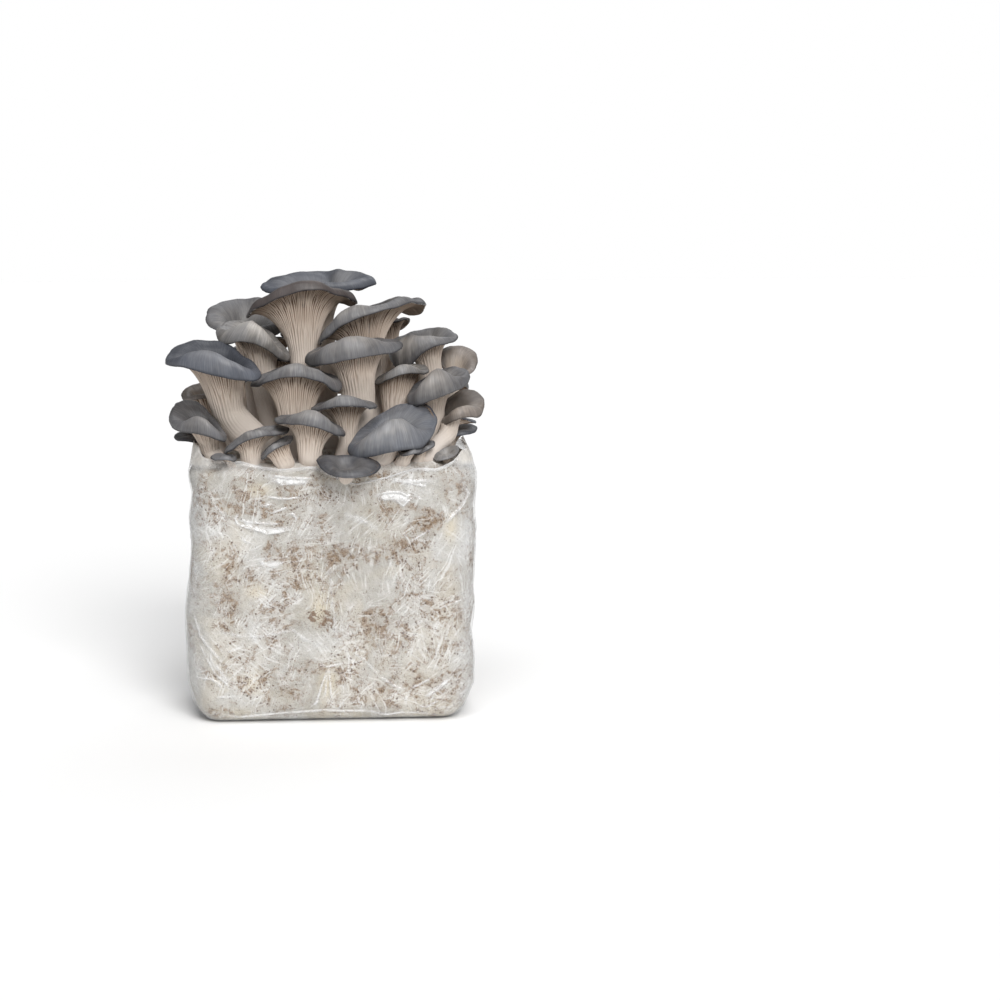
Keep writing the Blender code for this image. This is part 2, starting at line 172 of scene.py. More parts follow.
def vectorOf(tree, operation, a, b):
    return addNode(tree, "ShaderNodeVectorMath", {0: a, 1: b}, operation=operation).outputs[0]


def mixColours(tree, share, a, b):
    a, b = (value if isinstance(value, bpy.types.NodeSocket) else (*value, 1) for value in (a, b))
    return addNode(tree, "ShaderNodeMix", {0: share, 6: a, 7: b}, data_type="RGBA").outputs[2]


def rampOf(tree, value, colours, interpolation="LINEAR"):
    # The first two colours take the ramp's own stops, so they are its two ends.
    ramp = addNode(tree, "ShaderNodeValToRGB", {0: value})
    ramp.color_ramp.interpolation = interpolation
    stops = ramp.color_ramp.elements
    for spot, (position, colour) in enumerate(colours):
        stop = stops[spot] if spot < 2 else stops.new(position)
        stop.position, stop.color = position, (*colour, 1)
    return ramp.outputs["Color"]


def scaled(colour, factor):
    return tuple(min(1, part * factor) for part in colour)


def attribute(tree, name, output="Fac"):
    return addNode(tree, "ShaderNodeAttribute", attribute_name=name).outputs[output]


def feedNormal(tree, shader, strength, distance, height):
    bump = addNode(tree, "ShaderNodeBump",
                   {"Strength": strength, "Distance": distance, "Height": height})
    tree.links.new(bump.outputs["Normal"], shader.inputs["Normal"])


def objectPlace(tree):
    return addNode(tree, "ShaderNodeTexCoord").outputs["Object"]


def newGroup(name, **takes):
    # A node group that gives one mask. takes are its inputs: a number, or None for a vector.
    tree = bpy.data.node_groups.new(name, "ShaderNodeTree")
    for label, value in takes.items():
        kind = "NodeSocketVector" if value is None else "NodeSocketFloat"
        socket = tree.interface.new_socket(label, in_out="INPUT", socket_type=kind)
        if value is not None:
            socket.default_value = value
    tree.interface.new_socket("Mask", in_out="OUTPUT", socket_type="NodeSocketFloat")
    return (tree, tree.nodes.new("NodeGroupInput").outputs,
            tree.nodes.new("NodeGroupOutput").inputs["Mask"])


def useGroup(tree, group, **feeds):
    return addNode(tree, "ShaderNodeGroup", feeds, node_tree=group).outputs[0]


def makeFibreGroup():
    # Streaks that follow the skin: fine across it and long along it.
    tree, given, mask = newGroup("fibreStreaks", Grain=None, Round=30.0, Along=2.0, Contrast=1.0)
    parts = addNode(tree, "ShaderNodeSeparateXYZ", {0: given["Grain"]}).outputs
    stretched = {spot: times(tree, parts[axis], given[key])
                 for spot, (axis, key) in enumerate(zip("XYZ", ("Round", "Round", "Along")))}
    place = addNode(tree, "ShaderNodeCombineXYZ", stretched)
    streak = addNode(tree, "ShaderNodeTexNoise",
                     {"Vector": place.outputs[0], "Scale": 1.0, "Detail": 3.0, "Roughness": 0.6})
    centred = mathOf(tree, "SUBTRACT", streak.outputs["Fac"], 0.5)
    raised = times(tree, centred, given["Contrast"])
    tree.links.new(mathOf(tree, "ADD", raised, 0.5, clamp=True), mask)
    return tree


def makePatchGroup():
    # Soft uneven patches in space, with a mask that can be made crisp.
    tree, given, mask = newGroup("unevenPatches", Scale=40.0, Detail=3.0, Low=0.35, High=0.65,
                                 Warp=0.0)
    patch = addNode(tree, "ShaderNodeTexNoise",
                    {"Vector": objectPlace(tree), "Scale": given["Scale"],
                     "Detail": given["Detail"], "Roughness": 0.6, "Distortion": given["Warp"]})
    tree.links.new(stepMask(tree, patch.outputs["Fac"], given["Low"], given["High"]), mask)
    return tree


def makeSpeckGroup():
    # Small separate specks; the density says what share of them is there.
    tree, given, mask = newGroup("looseSpecks", Scale=800.0, Density=0.5, Size=0.3)
    cells = addNode(tree, "ShaderNodeTexVoronoi",
                    {"Vector": objectPlace(tree), "Scale": given["Scale"]})
    chance = addNode(tree, "ShaderNodeSeparateColor", {0: cells.outputs["Color"]}).outputs[0]
    there = mathOf(tree, "LESS_THAN", chance, given["Density"])
    softEdge = plus(tree, given["Size"], 0.12)
    near = stepMask(tree, cells.outputs["Distance"], softEdge, given["Size"])
    tree.links.new(times(tree, there, near), mask)
    return tree


def makeStrandGroup():
    # Thin strands that run one way over the surface and wander a little.
    tree, given, mask = newGroup("thinStrands", Turn=None, Stretch=None, Low=0.56, High=0.7)
    place = objectPlace(tree)
    wander = addNode(tree, "ShaderNodeTexNoise", {"Vector": place, "Scale": 30.0, "Detail": 1.5})
    centred = vectorOf(tree, "SUBTRACT", wander.outputs["Color"], (0.5, 0.5, 0.5))
    push = vectorOf(tree, "MULTIPLY", centred, (0.022, 0.022, 0.022))
    moved = vectorOf(tree, "ADD", place, push)
    turned = addNode(tree, "ShaderNodeMapping", {"Vector": moved, "Rotation": given["Turn"]})
    drawn = vectorOf(tree, "MULTIPLY", turned.outputs[0], given["Stretch"])
    streak = addNode(tree, "ShaderNodeTexNoise",
                     {"Vector": drawn, "Scale": 1.0, "Detail": 2.0, "Roughness": 0.55})
    tree.links.new(stepMask(tree, streak.outputs["Fac"], given["Low"], given["High"]), mask)
    return tree


def patchOf(tree, patches, scale, detail, low, high, warp=0.0):
    return useGroup(tree, patches, Scale=scale, Detail=detail, Low=low, High=high, Warp=warp)


def streaksOf(tree, fibres, looks):
    grain = attribute(tree, "grain", "Vector")
    return [useGroup(tree, fibres, Grain=grain, Round=across, Along=along, Contrast=contrast)
            for across, along, contrast in looks]


def layered(tree, base, layers):
    # Colours laid over a base one after another: each with its mask and how much of it counts.
    for mask, share, colour in layers:
        base = mixColours(tree, mask if share == 1 else times(tree, mask, share), base, colour)
    return base


# Lengths in millimetres. The rim is the closed curve through its left, right, front and back
# points; droop is how far it hangs below the crest there, in the same order.
growth = dict(
    stemBend=0.36, insetDroop=0.62, insetReach=0.06, insetLeast=0.9, sideDroop=0.6, browStart=0.42,
    gillsRise=0.40, gillsSpread=0.12, gillsArrival=0.34, bowlStart=0.17, bowlFloor=0.30,
    heartRise=0.34, heartStem=0.5, fleshLeast=1.9, fleshShare=0.03, waveSpread=1.3,
    footLevel=185.8, shoulderRadius=7.0, blockFront=-64.2, blockTop=185.5,
    stemFlare=0.16, flareReach=0.12, stemOval=0.055, stemLobed=0.035,
    frillWidth=80, rimWaver=0.35, rimFrill=0.16, curlDroop=0.08, curlLeast=0.25,
    tipInset=0.22, tipDroop=0.34, leanDroop=14, leanMost=0.30, ringCrowding=0.06, lipTurn=2.2)

detailBySize = dict(  # rows on the stem, gills, lip, brow and bowl; the lip's radius; gill depth
    large=dict(stem=20, gills=32, lip=7, brow=12, bowl=16, lipSize=0.75, depth=1.0),
    medium=dict(stem=14, gills=24, lip=6, brow=10, bowl=13, lipSize=0.6, depth=0.9),
    small=dict(stem=12, gills=18, lip=5, brow=8, bowl=10, lipSize=0.5, depth=0.75),
    bud=dict(stem=8, gills=14, lip=5, brow=7, bowl=9, lipSize=0.42, depth=0.6))

# Reach runs from -1 at the foot, through 0 at the throat, to 1 at the rim.
gillSetup = dict(
    rimSpacing=1.7, stepsEach=16, least=10,  # at the rim each gill has forked in four
    depthAt=((-1, 0.0), (-0.75, 0.03), (-0.4, 0.10), (-0.1, 0.30), (0.15, 0.70), (0.45, 1.1),
             (0.85, 1.15), (0.97, 0.8), (1.0, 0.1)),
    # how much shade is painted into the valleys between the gills, along the reach
    valleyShadeAt=((-0.9, 0.0), (-0.3, 0.15), (0.1, 0.44), (0.5, 0.80), (0.8, 1.0), (0.97, 1.0),
            (1.0, 0.3)))

capSetup = dict(
    usualWidth=70, grainWidth=80, grainLength=30, marginScale=30,
    # how fast the margin's dark band gives way on each side; the change round the cap is painted shade
    # and light, the ends and the back darker, the front brow lighter
    marginShadeShare=(0.60, 0.80, 0.60, 1.15), marginWander=0.10,  # at the right, back, left and front
    dentHeight=0.32, dentLength=12, foldHeight=0.03, foldLength=25, foldReach=22)

# colours of the cap: thin dark margin, band beside it, crown, and heart of the bowl; the band and
# the heart are dark partly in colour and partly as painted shade
capLooks = dict(
    slate=((0.026, 0.029, 0.038), (0.075, 0.081, 0.098), (0.375, 0.364, 0.357), (0.25, 0.235, 0.222)),
    smoke=((0.030, 0.030, 0.034), (0.085, 0.082, 0.086), (0.428, 0.400, 0.370), (0.29, 0.258, 0.230)),
    steel=((0.020, 0.023, 0.032), (0.058, 0.064, 0.082), (0.259, 0.257, 0.264), (0.14, 0.130, 0.124)),
    fawn=((0.034, 0.031, 0.030), (0.115, 0.106, 0.098), (0.567, 0.524, 0.477), (0.40, 0.35, 0.305)),
    ash=((0.028, 0.028, 0.032), (0.080, 0.077, 0.080), (0.346, 0.321, 0.298), (0.25, 0.222, 0.198)),
    umber=((0.022, 0.019, 0.021), (0.052, 0.042, 0.040), (0.183, 0.146, 0.127), (0.165, 0.130, 0.107)),
    sand=((0.045, 0.038, 0.034), (0.150, 0.124, 0.106), (0.490, 0.416, 0.348), (0.48, 0.39, 0.315)),
    # the last look: a dark grey skin; on the small mushrooms deep inside the cluster its darkness
    # stands for painted shade
    dusk=((0.022, 0.024, 0.030), (0.050, 0.050, 0.056), (0.227, 0.212, 0.201), (0.19, 0.163, 0.146)))

# foot: where it leaves the block, with its height where that isn't the block's top; throat: where
# the gills start; stem: its radius at the foot and at the throat.
mushroomKeys = ("name", "size", "look", "foot", "throat", "stem",
                "left", "right", "front", "back", "droop")
mushroomRows = (
    ("crown_front", "large", "umber", (-18, 8), (-18, 12, 263), (12, 11.2),
     (-59, 8, 286), (22, 12, 299), (-18, -18, 307), (-16, 34, 302), (5, 5, 8, 4)),
    ("crown_back", "large", "steel", (-2, 34), (-4, 44, 280), (9, 8),
     (-50, 50, 306), (37, 46, 309), (-8, 34, 303), (-4, 76, 317.5), (5, 8, 6, 3)),
    ("upper_left_back", "medium", "smoke", (-47, 32), (-60, 36, 256), (7, 7),
     (-91, 36, 286), (-30, 44, 280), (-68, 24, 274), (-60, 62, 297), (5, 5, 4, 2)),
    ("upper_left", "large", "fawn", (-38, 6), (-48, 5, 254), (9, 10),
     (-82, 6, 277), (-28, -2, 256), (-56, -20, 271), (-54, 18, 281), (6, 8, 11, 3)),
    ("upper_right", "large", "smoke", (32, 14), (30, 16, 250), (9, 9),
     (-8, 2, 267), (72, 22, 296), (30, -14, 288), (36, 46, 291), (6, 4, 11, 3)),
    ("big_left", "large", "steel", (-50, -20), (-73, -27, 226), (13, 12),
     (-117, -30, 256), (-47, -48, 250.5), (-79, -58, 248.5), (-84, 3, 271), (7, 6, 15, 3)),
    ("centre", "large", "smoke", (-20, -22), (-24, -24, 214), (11, 12),
     (-57, -22, 239.5), (10, -28, 240), (-24, -50, 248), (-24, -2, 250), (5, 8, 9, 4)),
    ("right_of_centre", "large", "ash", (19.5, -10), (21, -12, 238), (13, 12.6),
     (-17, -18, 255), (55, -12, 267), (20, -42, 260), (18, 5, 269), (14, 8, 15, 3)),
    ("right_folded", "medium", "smoke", (66, 24), (75, 25, 250), (7.5, 9),
     (44, 22, 256), (97, 28, 271), (75, 2, 264), (74, 52, 274), (18, 4, 8, 3)),
    ("right_back", "small", "sand", (88, 30), (92, 38, 231), (6, 5.7),
     (82, 40, 252), (112, 37, 250.5), (97, 21, 242), (98, 54, 262.5), (2, 2, 2, 2)),
    ("right_inner", "medium", "fawn", (44, -6), (49, -4, 222), (8.5, 10.3),
     (33, -10, 239.5), (74, -4, 247.5), (54, -25, 247), (57, 13, 250), (4, 4, 7, 3)),
    ("right_outer", "medium", "ash", (67, -8), (77, -8, 222), (8, 7.8),
     (56, -22, 227), (104, -4, 242.5), (80, -36, 231), (82, 11, 247), (10, 8, 18, 3)),
    ("right_leaning", "medium", "sand", (71, -46), (88, -13, 209), (5, 6.5),
     (80, -1, 211), (115, 2, 222), (96, -27, 215), (99, 30, 230), (5, 4, 7, 3)),
    ("centre_small", "small", "smoke", (11, -33), (13.5, -39, 206), (7, 6.5),
     (-13, -46, 224.5), (35, -44, 226), (11, -62, 228), (11, -26, 229), (4, 4, 8, 3)),
    ("front_right_big", "large", "slate", (34, -50), (40, -52, 198), (9, 9),
     (13, -57, 197), (76.5, -46, 210), (44, -80, 197), (56, -21, 226.5), (10, 4, 19, 3)),
    ("front_centre", "medium", "smoke", (-13, -48), (-14, -54, 197), (9, 9),
     (-39, -56, 218), (12, -56, 207), (-14, -78, 216), (-14, -39, 219), (4, 7, 11, 3)),
    ("front_left", "medium", "smoke", (-53, -49), (-56, -51, 194), (7.5, 7.5),
     (-75, -54, 195), (-28, -56, 210.5), (-54, -72, 206.5), (-50, -43, 211), (4, 3, 6, 2)),
    ("front_left_small", "bud", "smoke", (-32, -53), (-32, -57, 189), (6.5, 7),
     (-48.5, -64, 192), (-25, -60, 205.5), (-38, -77, 199.5), (-35, -50, 204), (3, 2, 4, 2)),
    ("left_low", "medium", "ash", (-79, -44), (-85, -42, 197), (6.5, 6.5),
     (-114, -40, 215), (-72, -51, 206.5), (-89, -64, 208.5), (-97, -19, 229), (8, 4, 11, 3)),
    ("left_back", "small", "sand", (-80, 2), (-88, 6, 213), (6, 5.7),
     (-108, 8, 229), (-78, 6, 233), (-94, -13, 229), (-94, 26, 237.5), (2, 2, 3, 2)),
    ("left_dark", "bud", "dusk", (-86, -18), (-93, -20, 198), (3.5, 3.5),
     (-112, -22, 203), (-90, -20, 200), (-101, -36, 201), (-101, -6, 204), (2, 2, 3, 2)),
    ("left_bud", "bud", "smoke", (-69, -57), (-70, -58, 189.5), (3, 2.8),
     (-84, -65, 193), (-65, -65, 191.5), (-72, -73, 192), (-73, -54, 194), (2, 2, 3, 2)),
    ("lowest", "medium", "dusk", (12, -64.4, 180), (12, -75, 182), (5, 5.5),
     (-8, -80, 189), (36, -80, 188.5), (14, -94, 181.5), (5, -62, 194.5), (2, 2, 1.2, 1.5)),
    ("right_low", "bud", "slate", (83, 2), (89, 6, 194), (4.5, 4.4),
     (83, 10, 198), (110, 10, 203.5), (96, -7, 200), (96, 28, 204), (2, 2, 4, 2)),
    ("right_bud", "bud", "fawn", (86, -40), (84, -44, 187.5), (3, 3),
     (73, -48, 189.5), (94, -42, 194), (84, -56, 189), (84, -32, 195), (2, 2, 2, 2)),
    ("front_right_bud", "bud", "smoke", (51, -55), (54, -60, 191.5), (4.5, 4.2),
     (49, -65, 194.5), (67, -61, 197.5), (59, -73, 195), (58, -51, 198), (2, 2, 3, 2)),
    ("front_right_bud_2", "bud", "smoke", (62, -48), (65, -49, 191), (3.5, 3.5),
     (60, -49, 192), (76, -51, 201), (70, -59, 196), (67, -41, 198), (2, 2, 3, 2)),
    # these two sit deep in the cluster; their dark skin is painted shade
    ("inner_left", "bud", "dusk", (-34, 27), (-37, 28, 246), (4.5, 4.5),
     (-51, 27, 256), (-20, 30, 252), (-36, 16, 254), (-37, 40, 256), (2, 2, 4, 2)),
    ("inner_low_left", "bud", "dusk", (-62, 16), (-65, 15, 222), (5, 5),
     (-76, 14, 238), (-58, 15, 241), (-67, 3, 239), (-67, 25, 242), (2, 2, 4, 2)),
    ("rear_crown", "medium", "smoke", (-8, 50), (-8, 64, 250), (8, 8),
     (-38, 74, 270), (20, 76, 279), (-8, 55, 280), (-6, 98, 263), (6, 4, 2, 13)),
    ("rear_upper_left", "medium", "slate", (-42, 50), (-54, 60, 236), (7.5, 8),
     (-84, 64, 254), (-27, 70, 267), (-58, 48, 264), (-56, 92, 243), (8, 5, 2, 16)),
    ("rear_upper_right", "medium", "umber", (36, 46), (44, 56, 254), (7.5, 7.5),
     (25, 62, 280), (62, 60, 279), (44, 46, 281), (46, 86, 270), (4, 5, 2, 11)),
    ("rear_right", "medium", "smoke", (66, 50), (76, 62, 214), (7.5, 7.5),
     (54, 72, 238), (106, 66, 229), (80, 50, 241), (82, 94, 220), (5, 8, 2, 17)),
    ("rear_left", "medium", "smoke", (-77, 32), (-89, 40, 204), (7, 7),
     (-114, 42, 216), (-68, 54, 223), (-90, 24, 225), (-92, 72, 208), (8, 4, 2, 14)),
    ("rear_centre", "medium", "slate", (20, 53), (24, 67, 214), (7.5, 8),
     (-3, 82, 228), (50, 80, 237), (24, 65, 241), (26, 102, 221), (8, 6, 2, 18)),
    ("rear_low_left", "medium", "smoke", (-28, 53), (-31, 64, 202), (7, 7.5),
     (-58, 84, 216), (-8, 84, 210), (-33, 66, 220), (-35, 102, 202), (4, 7, 2, 13)),
    ("rear_low_right", "small", "slate", (52, 55), (55, 64, 199), (6, 6.5),
     (31, 78, 206), (72, 79, 208), (56, 62, 215), (54, 98, 200), (5, 4, 2, 11)),
    ("rear_corner_left", "small", "sand", (-68, 53), (-76, 62, 198), (5, 5),
     (-95, 68, 204), (-60, 70, 207), (-78, 54, 208), (-78, 88, 200), (3, 3, 2, 6)),
    ("rear_corner_right", "bud", "slate", (85, 43), (91, 48, 199), (4.2, 4.2),
     (84, 58, 204), (112, 54, 203), (98, 43, 207), (98, 70, 201), (3, 3, 2, 5)),
    ("rear_bud", "bud", "dusk", (4, 57), (2, 64, 197), (3.8, 4),
     (-13, 76, 202), (11, 76, 203), (-1, 64, 205), (-1, 88, 199), (3, 3, 2, 5)))

# lobes: angle and half width in degrees, how far the rim and the crest rise there, and how far
# the rim is pushed out. waves: how many round the rim, their height and their turn. bowl, back
# shade and under: how much shade is painted into the bowl, over the cap's far half and onto the
# gills under the cap.
mushroomExtras = dict(
    crown_front=dict(lobes=((208, 30, 2, 5, 2), (350, 26, -1, 5, 1), (42, 30, -7, 1, 0))),
    crown_back=dict(lobes=((-30, 24, 2, 3, 1), (50, 26, -13, 2.5, 0)), paintedBackShade=0.35),
    upper_left_back=dict(lobes=((325, 30, -5, 0, 0), (60, 32, 3, 6, 0)), bowl=0.7, paintedBackShade=0.3),
    upper_left=dict(lobes=((225, 34, -6, 5, 0),), under=0.35),
    upper_right=dict(lobes=((240, 32, 3, 4, 0), (283, 24, 0, -6, -2), (318, 24, 3, 3, 2),
                            (44, 26, -12, 5, 0), (5, 24, 0, 3, 1), (138, 34, 0, 6, 0)),
                     paintedBackShade=0.75),
    big_left=dict(lobes=((222, 36, 6, 5, 0), (40, 32, -6, 0, 0)), bowl=1.0, paintedBackShade=0.85, under=0.1),
    centre=dict(lobes=((335, 25, -4, 2, 1),)),
    right_folded=dict(lobes=((216, 32, -11, 2, 0), (42, 28, -9, 3, 0)), bowl=0.7, paintedBackShade=0.45),
    right_back=dict(bowl=0.0),
    right_inner=dict(under=0.6),
    right_leaning=dict(lobes=((318, 26, -3, 1, 0),), bowl=1.0, paintedBackShade=0.95),
    centre_small=dict(under=0.5),
    front_right_big=dict(lobes=((318, 25, -4, 4, 0),), bowl=0.8),
    left_low=dict(lobes=((42, 32, -6, 0, 0),), bowl=1.0, paintedBackShade=0.75),
    left_back=dict(bowl=0.0),
    lowest=dict(bowl=0.0),
    right_bud=dict(bowl=0.0),
    rear_crown=dict(waves=(3, 1.5, 60)),
    rear_upper_left=dict(waves=(4, 1.2, 0)),
    rear_upper_right=dict(waves=(3, 1.2, 180)),
    rear_right=dict(waves=(3, 1.5, 20)),
    rear_left=dict(waves=(4, 1.2, 90)),
    rear_centre=dict(waves=(3, 1.5, 140)),
    rear_low_left=dict(waves=(3, 1.2, 30)),
    rear_low_right=dict(waves=(3, 1.0, 250)))

mushrooms = [dict(zip(mushroomKeys, row), **mushroomExtras.get(row[0], {})) for row in mushroomRows]


def unit(v):
    return v / np.maximum(np.linalg.norm(v, axis=-1, keepdims=True), 1e-9)


def between(values, angle):
    # The smooth closed curve through four values, at 0, 90, 180 and 270 degrees.
    right, back, left, front = (np.asarray(v, float) for v in values)
    waves = [np.ones_like(angle), np.cos(angle), np.sin(angle), np.cos(2 * angle)]
    terms = [(right + back + left + front) / 4, (right - left) / 2, (back - front) / 2,
             (right + left - back - front) / 4]
    if right.ndim:
        return sum(np.outer(w, t) for w, t in zip(waves, terms))
    return sum(w * t for w, t in zip(waves, terms))


def bezier(points, share):
    a, b, c, d = points
    rest = 1 - share
    return a * rest**3 + b * (3 * rest**2 * share) + c * (3 * rest * share**2) + d * share**3


def bezierHeading(points, share):
    a, b, c, d = points
    rest = 1 - share
    return unit((b - a) * rest**2 + (c - b) * (2 * rest * share) + (d - c) * share**2)


def lobeAt(lobes, angle, kind):
    moved = np.zeros_like(angle)
    for at, halfWidth, *moves in lobes:
        away = (angle - math.radians(at) + math.pi) % tau - math.pi
        moved += moves[kind] * np.exp(-(away / math.radians(halfWidth)) ** 2)
    return moved


def ripple(angle, along, counts, rng):
    # An even, closed pattern of soft waves round and along, between about -1 and 1.
    total = np.zeros(np.broadcast(angle, along).shape)
    for count in counts:
        total += np.sin(count * angle + rng.uniform(-3, 3) * along + rng.uniform(0, tau))
    return total / math.sqrt(len(counts))


def smooth(low, high, value):
    # 0 before low and 1 after high, smooth between; low may lie above high.
    t = np.clip((value - low) / (high - low), 0, 1)
    return t * t * (3 - 2 * t)


def gillRelief(angle, reach, count, rng):
    # 0 in the valleys and 1 on the gills' edges. The gills fork twice on their way to the rim.
    # angle runs round and reach from -1 at the foot, through 0 at the throat, to 1 at the rim.
    slots = 4 * count
    kind = np.arange(slots) % 4  # 0 starts on the stem, 2 forks off first, 1 and 3 later
    jitter = rng.uniform(-0.2, 0.2, slots)
    start = np.where(kind == 0, rng.uniform(-0.95, -0.5, slots),
                     np.where(kind == 2, rng.uniform(0.05, 0.26, slots),
                              rng.uniform(0.44, 0.62, slots)))
    side = rng.choice([-1, 1], slots)
    parent = np.where(kind == 0, 0, np.where(kind == 2, side, np.where(kind == 1, -0.6, 0.6)))
    strength = rng.uniform(0.85, 1.0, slots)
    sway = 0.4 * ripple(angle, reach * 1.5, (5, 9, 14, 23), rng) * np.exp(-((reach - 0.1) / 0.6)**2)
    place = angle / tau * slots + sway
    home = np.floor(place).astype(int)
    halfWidth = 2.3 - smooth(0.1, 0.36, reach) * 1.1 - smooth(0.46, 0.74, reach) * 0.57
    height = np.zeros(place.shape)
    for step in range(-4, 6):
        slot = home + step
        k = slot % slots
        grown = smooth(0.0, 0.14, reach - start[k])
        centre = slot + jitter[k] + 0.5 + parent[k] * (1 - smooth(0.0, 0.2, reach - start[k]))
        away = np.abs(place - centre) / halfWidth
        edge = np.where(away < 1, 0.5 + 0.5 * np.cos(math.pi * np.minimum(away, 1)), 0)
        height = np.maximum(height, edge * grown * strength[k])
    return height


def table(rows, value):
    rows = np.array(rows, float)
    return np.interp(value, rows[:, 0], rows[:, 1])


def profileOf(m, angle, rng):
    # The mushroom's skin as rings of points from the foot to the heart of the bowl, with how far
    # along each ring lies and which part of the mushroom it is on.
    g, d = growth, detailBySize[m["size"]]
    ends = [np.array(m[key], float) for key in ("right", "back", "left", "front")]
    right, back, left, front = ends
    droops = [m["droop"][1] * g["sideDroop"], m["droop"][3], m["droop"][0] * g["sideDroop"],
              m["droop"][2]]
    lobes = m.get("lobes", ())
    middle = sum(ends) / 4
    facing = unit(np.cross(right - left, back - front))
    width = np.linalg.norm(right - left)
    throat = np.array(m["throat"], float)
    axis = unit(unit(middle - throat) + facing)
    foot = np.array((*m["foot"], g["footLevel"])[:3], float)
    start = np.array((0.0, 0.0, 1.0))
    if len(m["foot"]) == 3:  # it leaves the block's rounded front edge square to it
        edge = np.array((foot[0], g["blockFront"] + g["shoulderRadius"],
                         g["blockTop"] - g["shoulderRadius"]))
        start = unit(foot - edge)
    bend = g["stemBend"] * np.linalg.norm(throat - foot)
    spine = (foot, foot + start * bend, throat - axis * bend, throat)
    rise = max(4.0, float(np.dot(middle - throat, axis)))
    heart = throat + axis * (g["heartRise"] * rise + g["heartStem"] * m["stem"][1])

    def outwards(points):
        away = points - middle
        return unit(away - np.outer(away @ facing, facing))

    count, height, turn = m.get("waves", (3, 0.6, 0))
    wave = height * np.sin(count * angle + math.radians(turn))
    frill = width / g["frillWidth"]
    wave = wave + g["rimWaver"] * frill * ripple(angle, 0 * angle, (6, 9, 13), rng)
    fine = g["rimFrill"] * frill * ripple(angle, 0 * angle, (21, 34, 47, 61), rng)
    rim = between(ends, angle)
    out = outwards(rim)
    lift = wave + lobeAt(lobes, angle, 0)
    rim = rim + np.outer(lift, facing) + out * (g["waveSpread"] * wave + fine
                                                + lobeAt(lobes, angle, 2))[:, None]
    out = outwards(rim)
    droop = between(droops, angle) + lobeAt(lobes, angle, 1) - lobeAt(lobes, angle, 0)
    droop = np.maximum(1.0, droop)
    reach = np.linalg.norm(rim - middle, axis=1)
    inset = np.maximum(g["insetLeast"], g["insetDroop"] * droop + g["insetReach"] * reach)
    crest = rim - out * inset[:, None] + np.outer(droop, facing)

    rings, alongs, parts = [], [], []

    def add(points, along, part):
        rings.append(points)
        alongs.append(along)
        parts.append(part)

    def onStem(share, shrink=1.0):
        along = bezierHeading(spine, share)
        across = unit(np.array((1.0, 0, 0)) - along * along[0])
        spoke = (np.outer(np.cos(angle), across) + np.outer(np.sin(angle), np.cross(along, across)))
        radius = m["stem"][0] + (m["stem"][1] - m["stem"][0]) * share
        flare = 1 + g["stemFlare"] * math.exp(-((share / g["flareReach"]) ** 2))
        uneven = (1 + g["stemOval"] * np.sin(2 * angle + stemTurns[0] + 1.5 * share)
                  + g["stemLobed"] * np.sin(3 * angle + stemTurns[1] - 3 * share))
        uneven = 1 + (uneven - 1) * smooth(1.02, 0.8, share)
        return bezier(spine, share) + spoke * (radius * flare * shrink * uneven)[:, None], spoke

    stemTurns = rng.uniform(0, tau, 2)
    add(np.repeat(foot[None], len(angle), 0), -1.0, 0)
    add(onStem(0.0, 0.55)[0], -0.99, 0)
    for step in range(d["stem"]):
        share = step / (d["stem"] - 1)
        add(onStem(share)[0], share - 1, 0)

    lip = min(d["lipSize"], 0.4 * width)
    curl = g["curlDroop"] * droop + g["curlLeast"]
    tip = (rim - out * (curl + 2 * lip + g["tipInset"] * inset)[:, None]
           + np.outer(lip + g["tipDroop"] * droop, facing))
    base, spoke = onStem(1.0)
    span = np.linalg.norm(tip - base, axis=1)[:, None]
    lean = np.clip(droop / g["leanDroop"], 0, 1)[:, None] * g["leanMost"]
    arrival = out * np.cos(lean) - facing * np.sin(lean)
    reachOut = np.sum((tip - base) * out, axis=1)[:, None]
    handle = np.clip(0.9 * reachOut, 0.5, g["gillsArrival"] * span)
    gills = (base, base + (axis + spoke * g["gillsSpread"]) * (g["gillsRise"] * span),
             tip - arrival * handle, tip)
    for step in range(1, d["gills"] + 1):
        share = step / d["gills"]
        share = share - g["ringCrowding"] * math.sin(tau * share)  # closer at throat and rim
        add(bezier(gills, share), share, 1)
    inner = rim - out * (curl + 2 * lip)[:, None] + facing * lip
    add((tip + inner) / 2, 1.0, 1)
    for step in range(d["lip"]):
        turn = math.pi * (1 - step / (d["lip"] - 1))
        centre = rim - out * (curl + lip)[:, None] + facing * lip
        add(centre + out * (lip * math.cos(turn)) - facing * (0.95 * lip * math.sin(turn)),
            1.0, 2 if turn < g["lipTurn"] else 1)
    for step in range(1, d["brow"] + 1):
        t = step / d["brow"]
        sweep = g["browStart"] + (math.pi / 2 - g["browStart"]) * t
        low, side = math.sin(g["browStart"]), math.cos(g["browStart"])
        drawn = inset * (1 - math.cos(sweep) / side) + curl * (1 - t) ** 3
        raised = lip + (droop - lip) * (math.sin(sweep) - low) / (1 - low)
        add(rim - out * drawn[:, None] + np.outer(raised, facing), 0.0, 2)
    inwards = outwards(crest)
    reachIn = np.linalg.norm(crest - heart, axis=1)[:, None]
    bowl = (crest, crest - inwards * (g["bowlStart"] * reachIn),
            heart + inwards * (g["bowlFloor"] * reachIn), np.repeat(heart[None], len(angle), 0))
    underside = np.array([ring for ring, part in zip(rings, parts) if part == 1])
    underRise = (underside - throat) @ axis
    underReach = np.linalg.norm(underside - throat - underRise[..., None] * axis, axis=2)
    underReach = np.maximum.accumulate(underReach, axis=0)
    flesh = g["fleshLeast"] + g["fleshShare"] * width
    for step in range(1, d["bowl"] + 1):
        t = step / d["bowl"]
        points = bezier(bowl, t)
        high = (points - throat) @ axis
        away = np.linalg.norm(points - throat - high[:, None] * axis, axis=1)
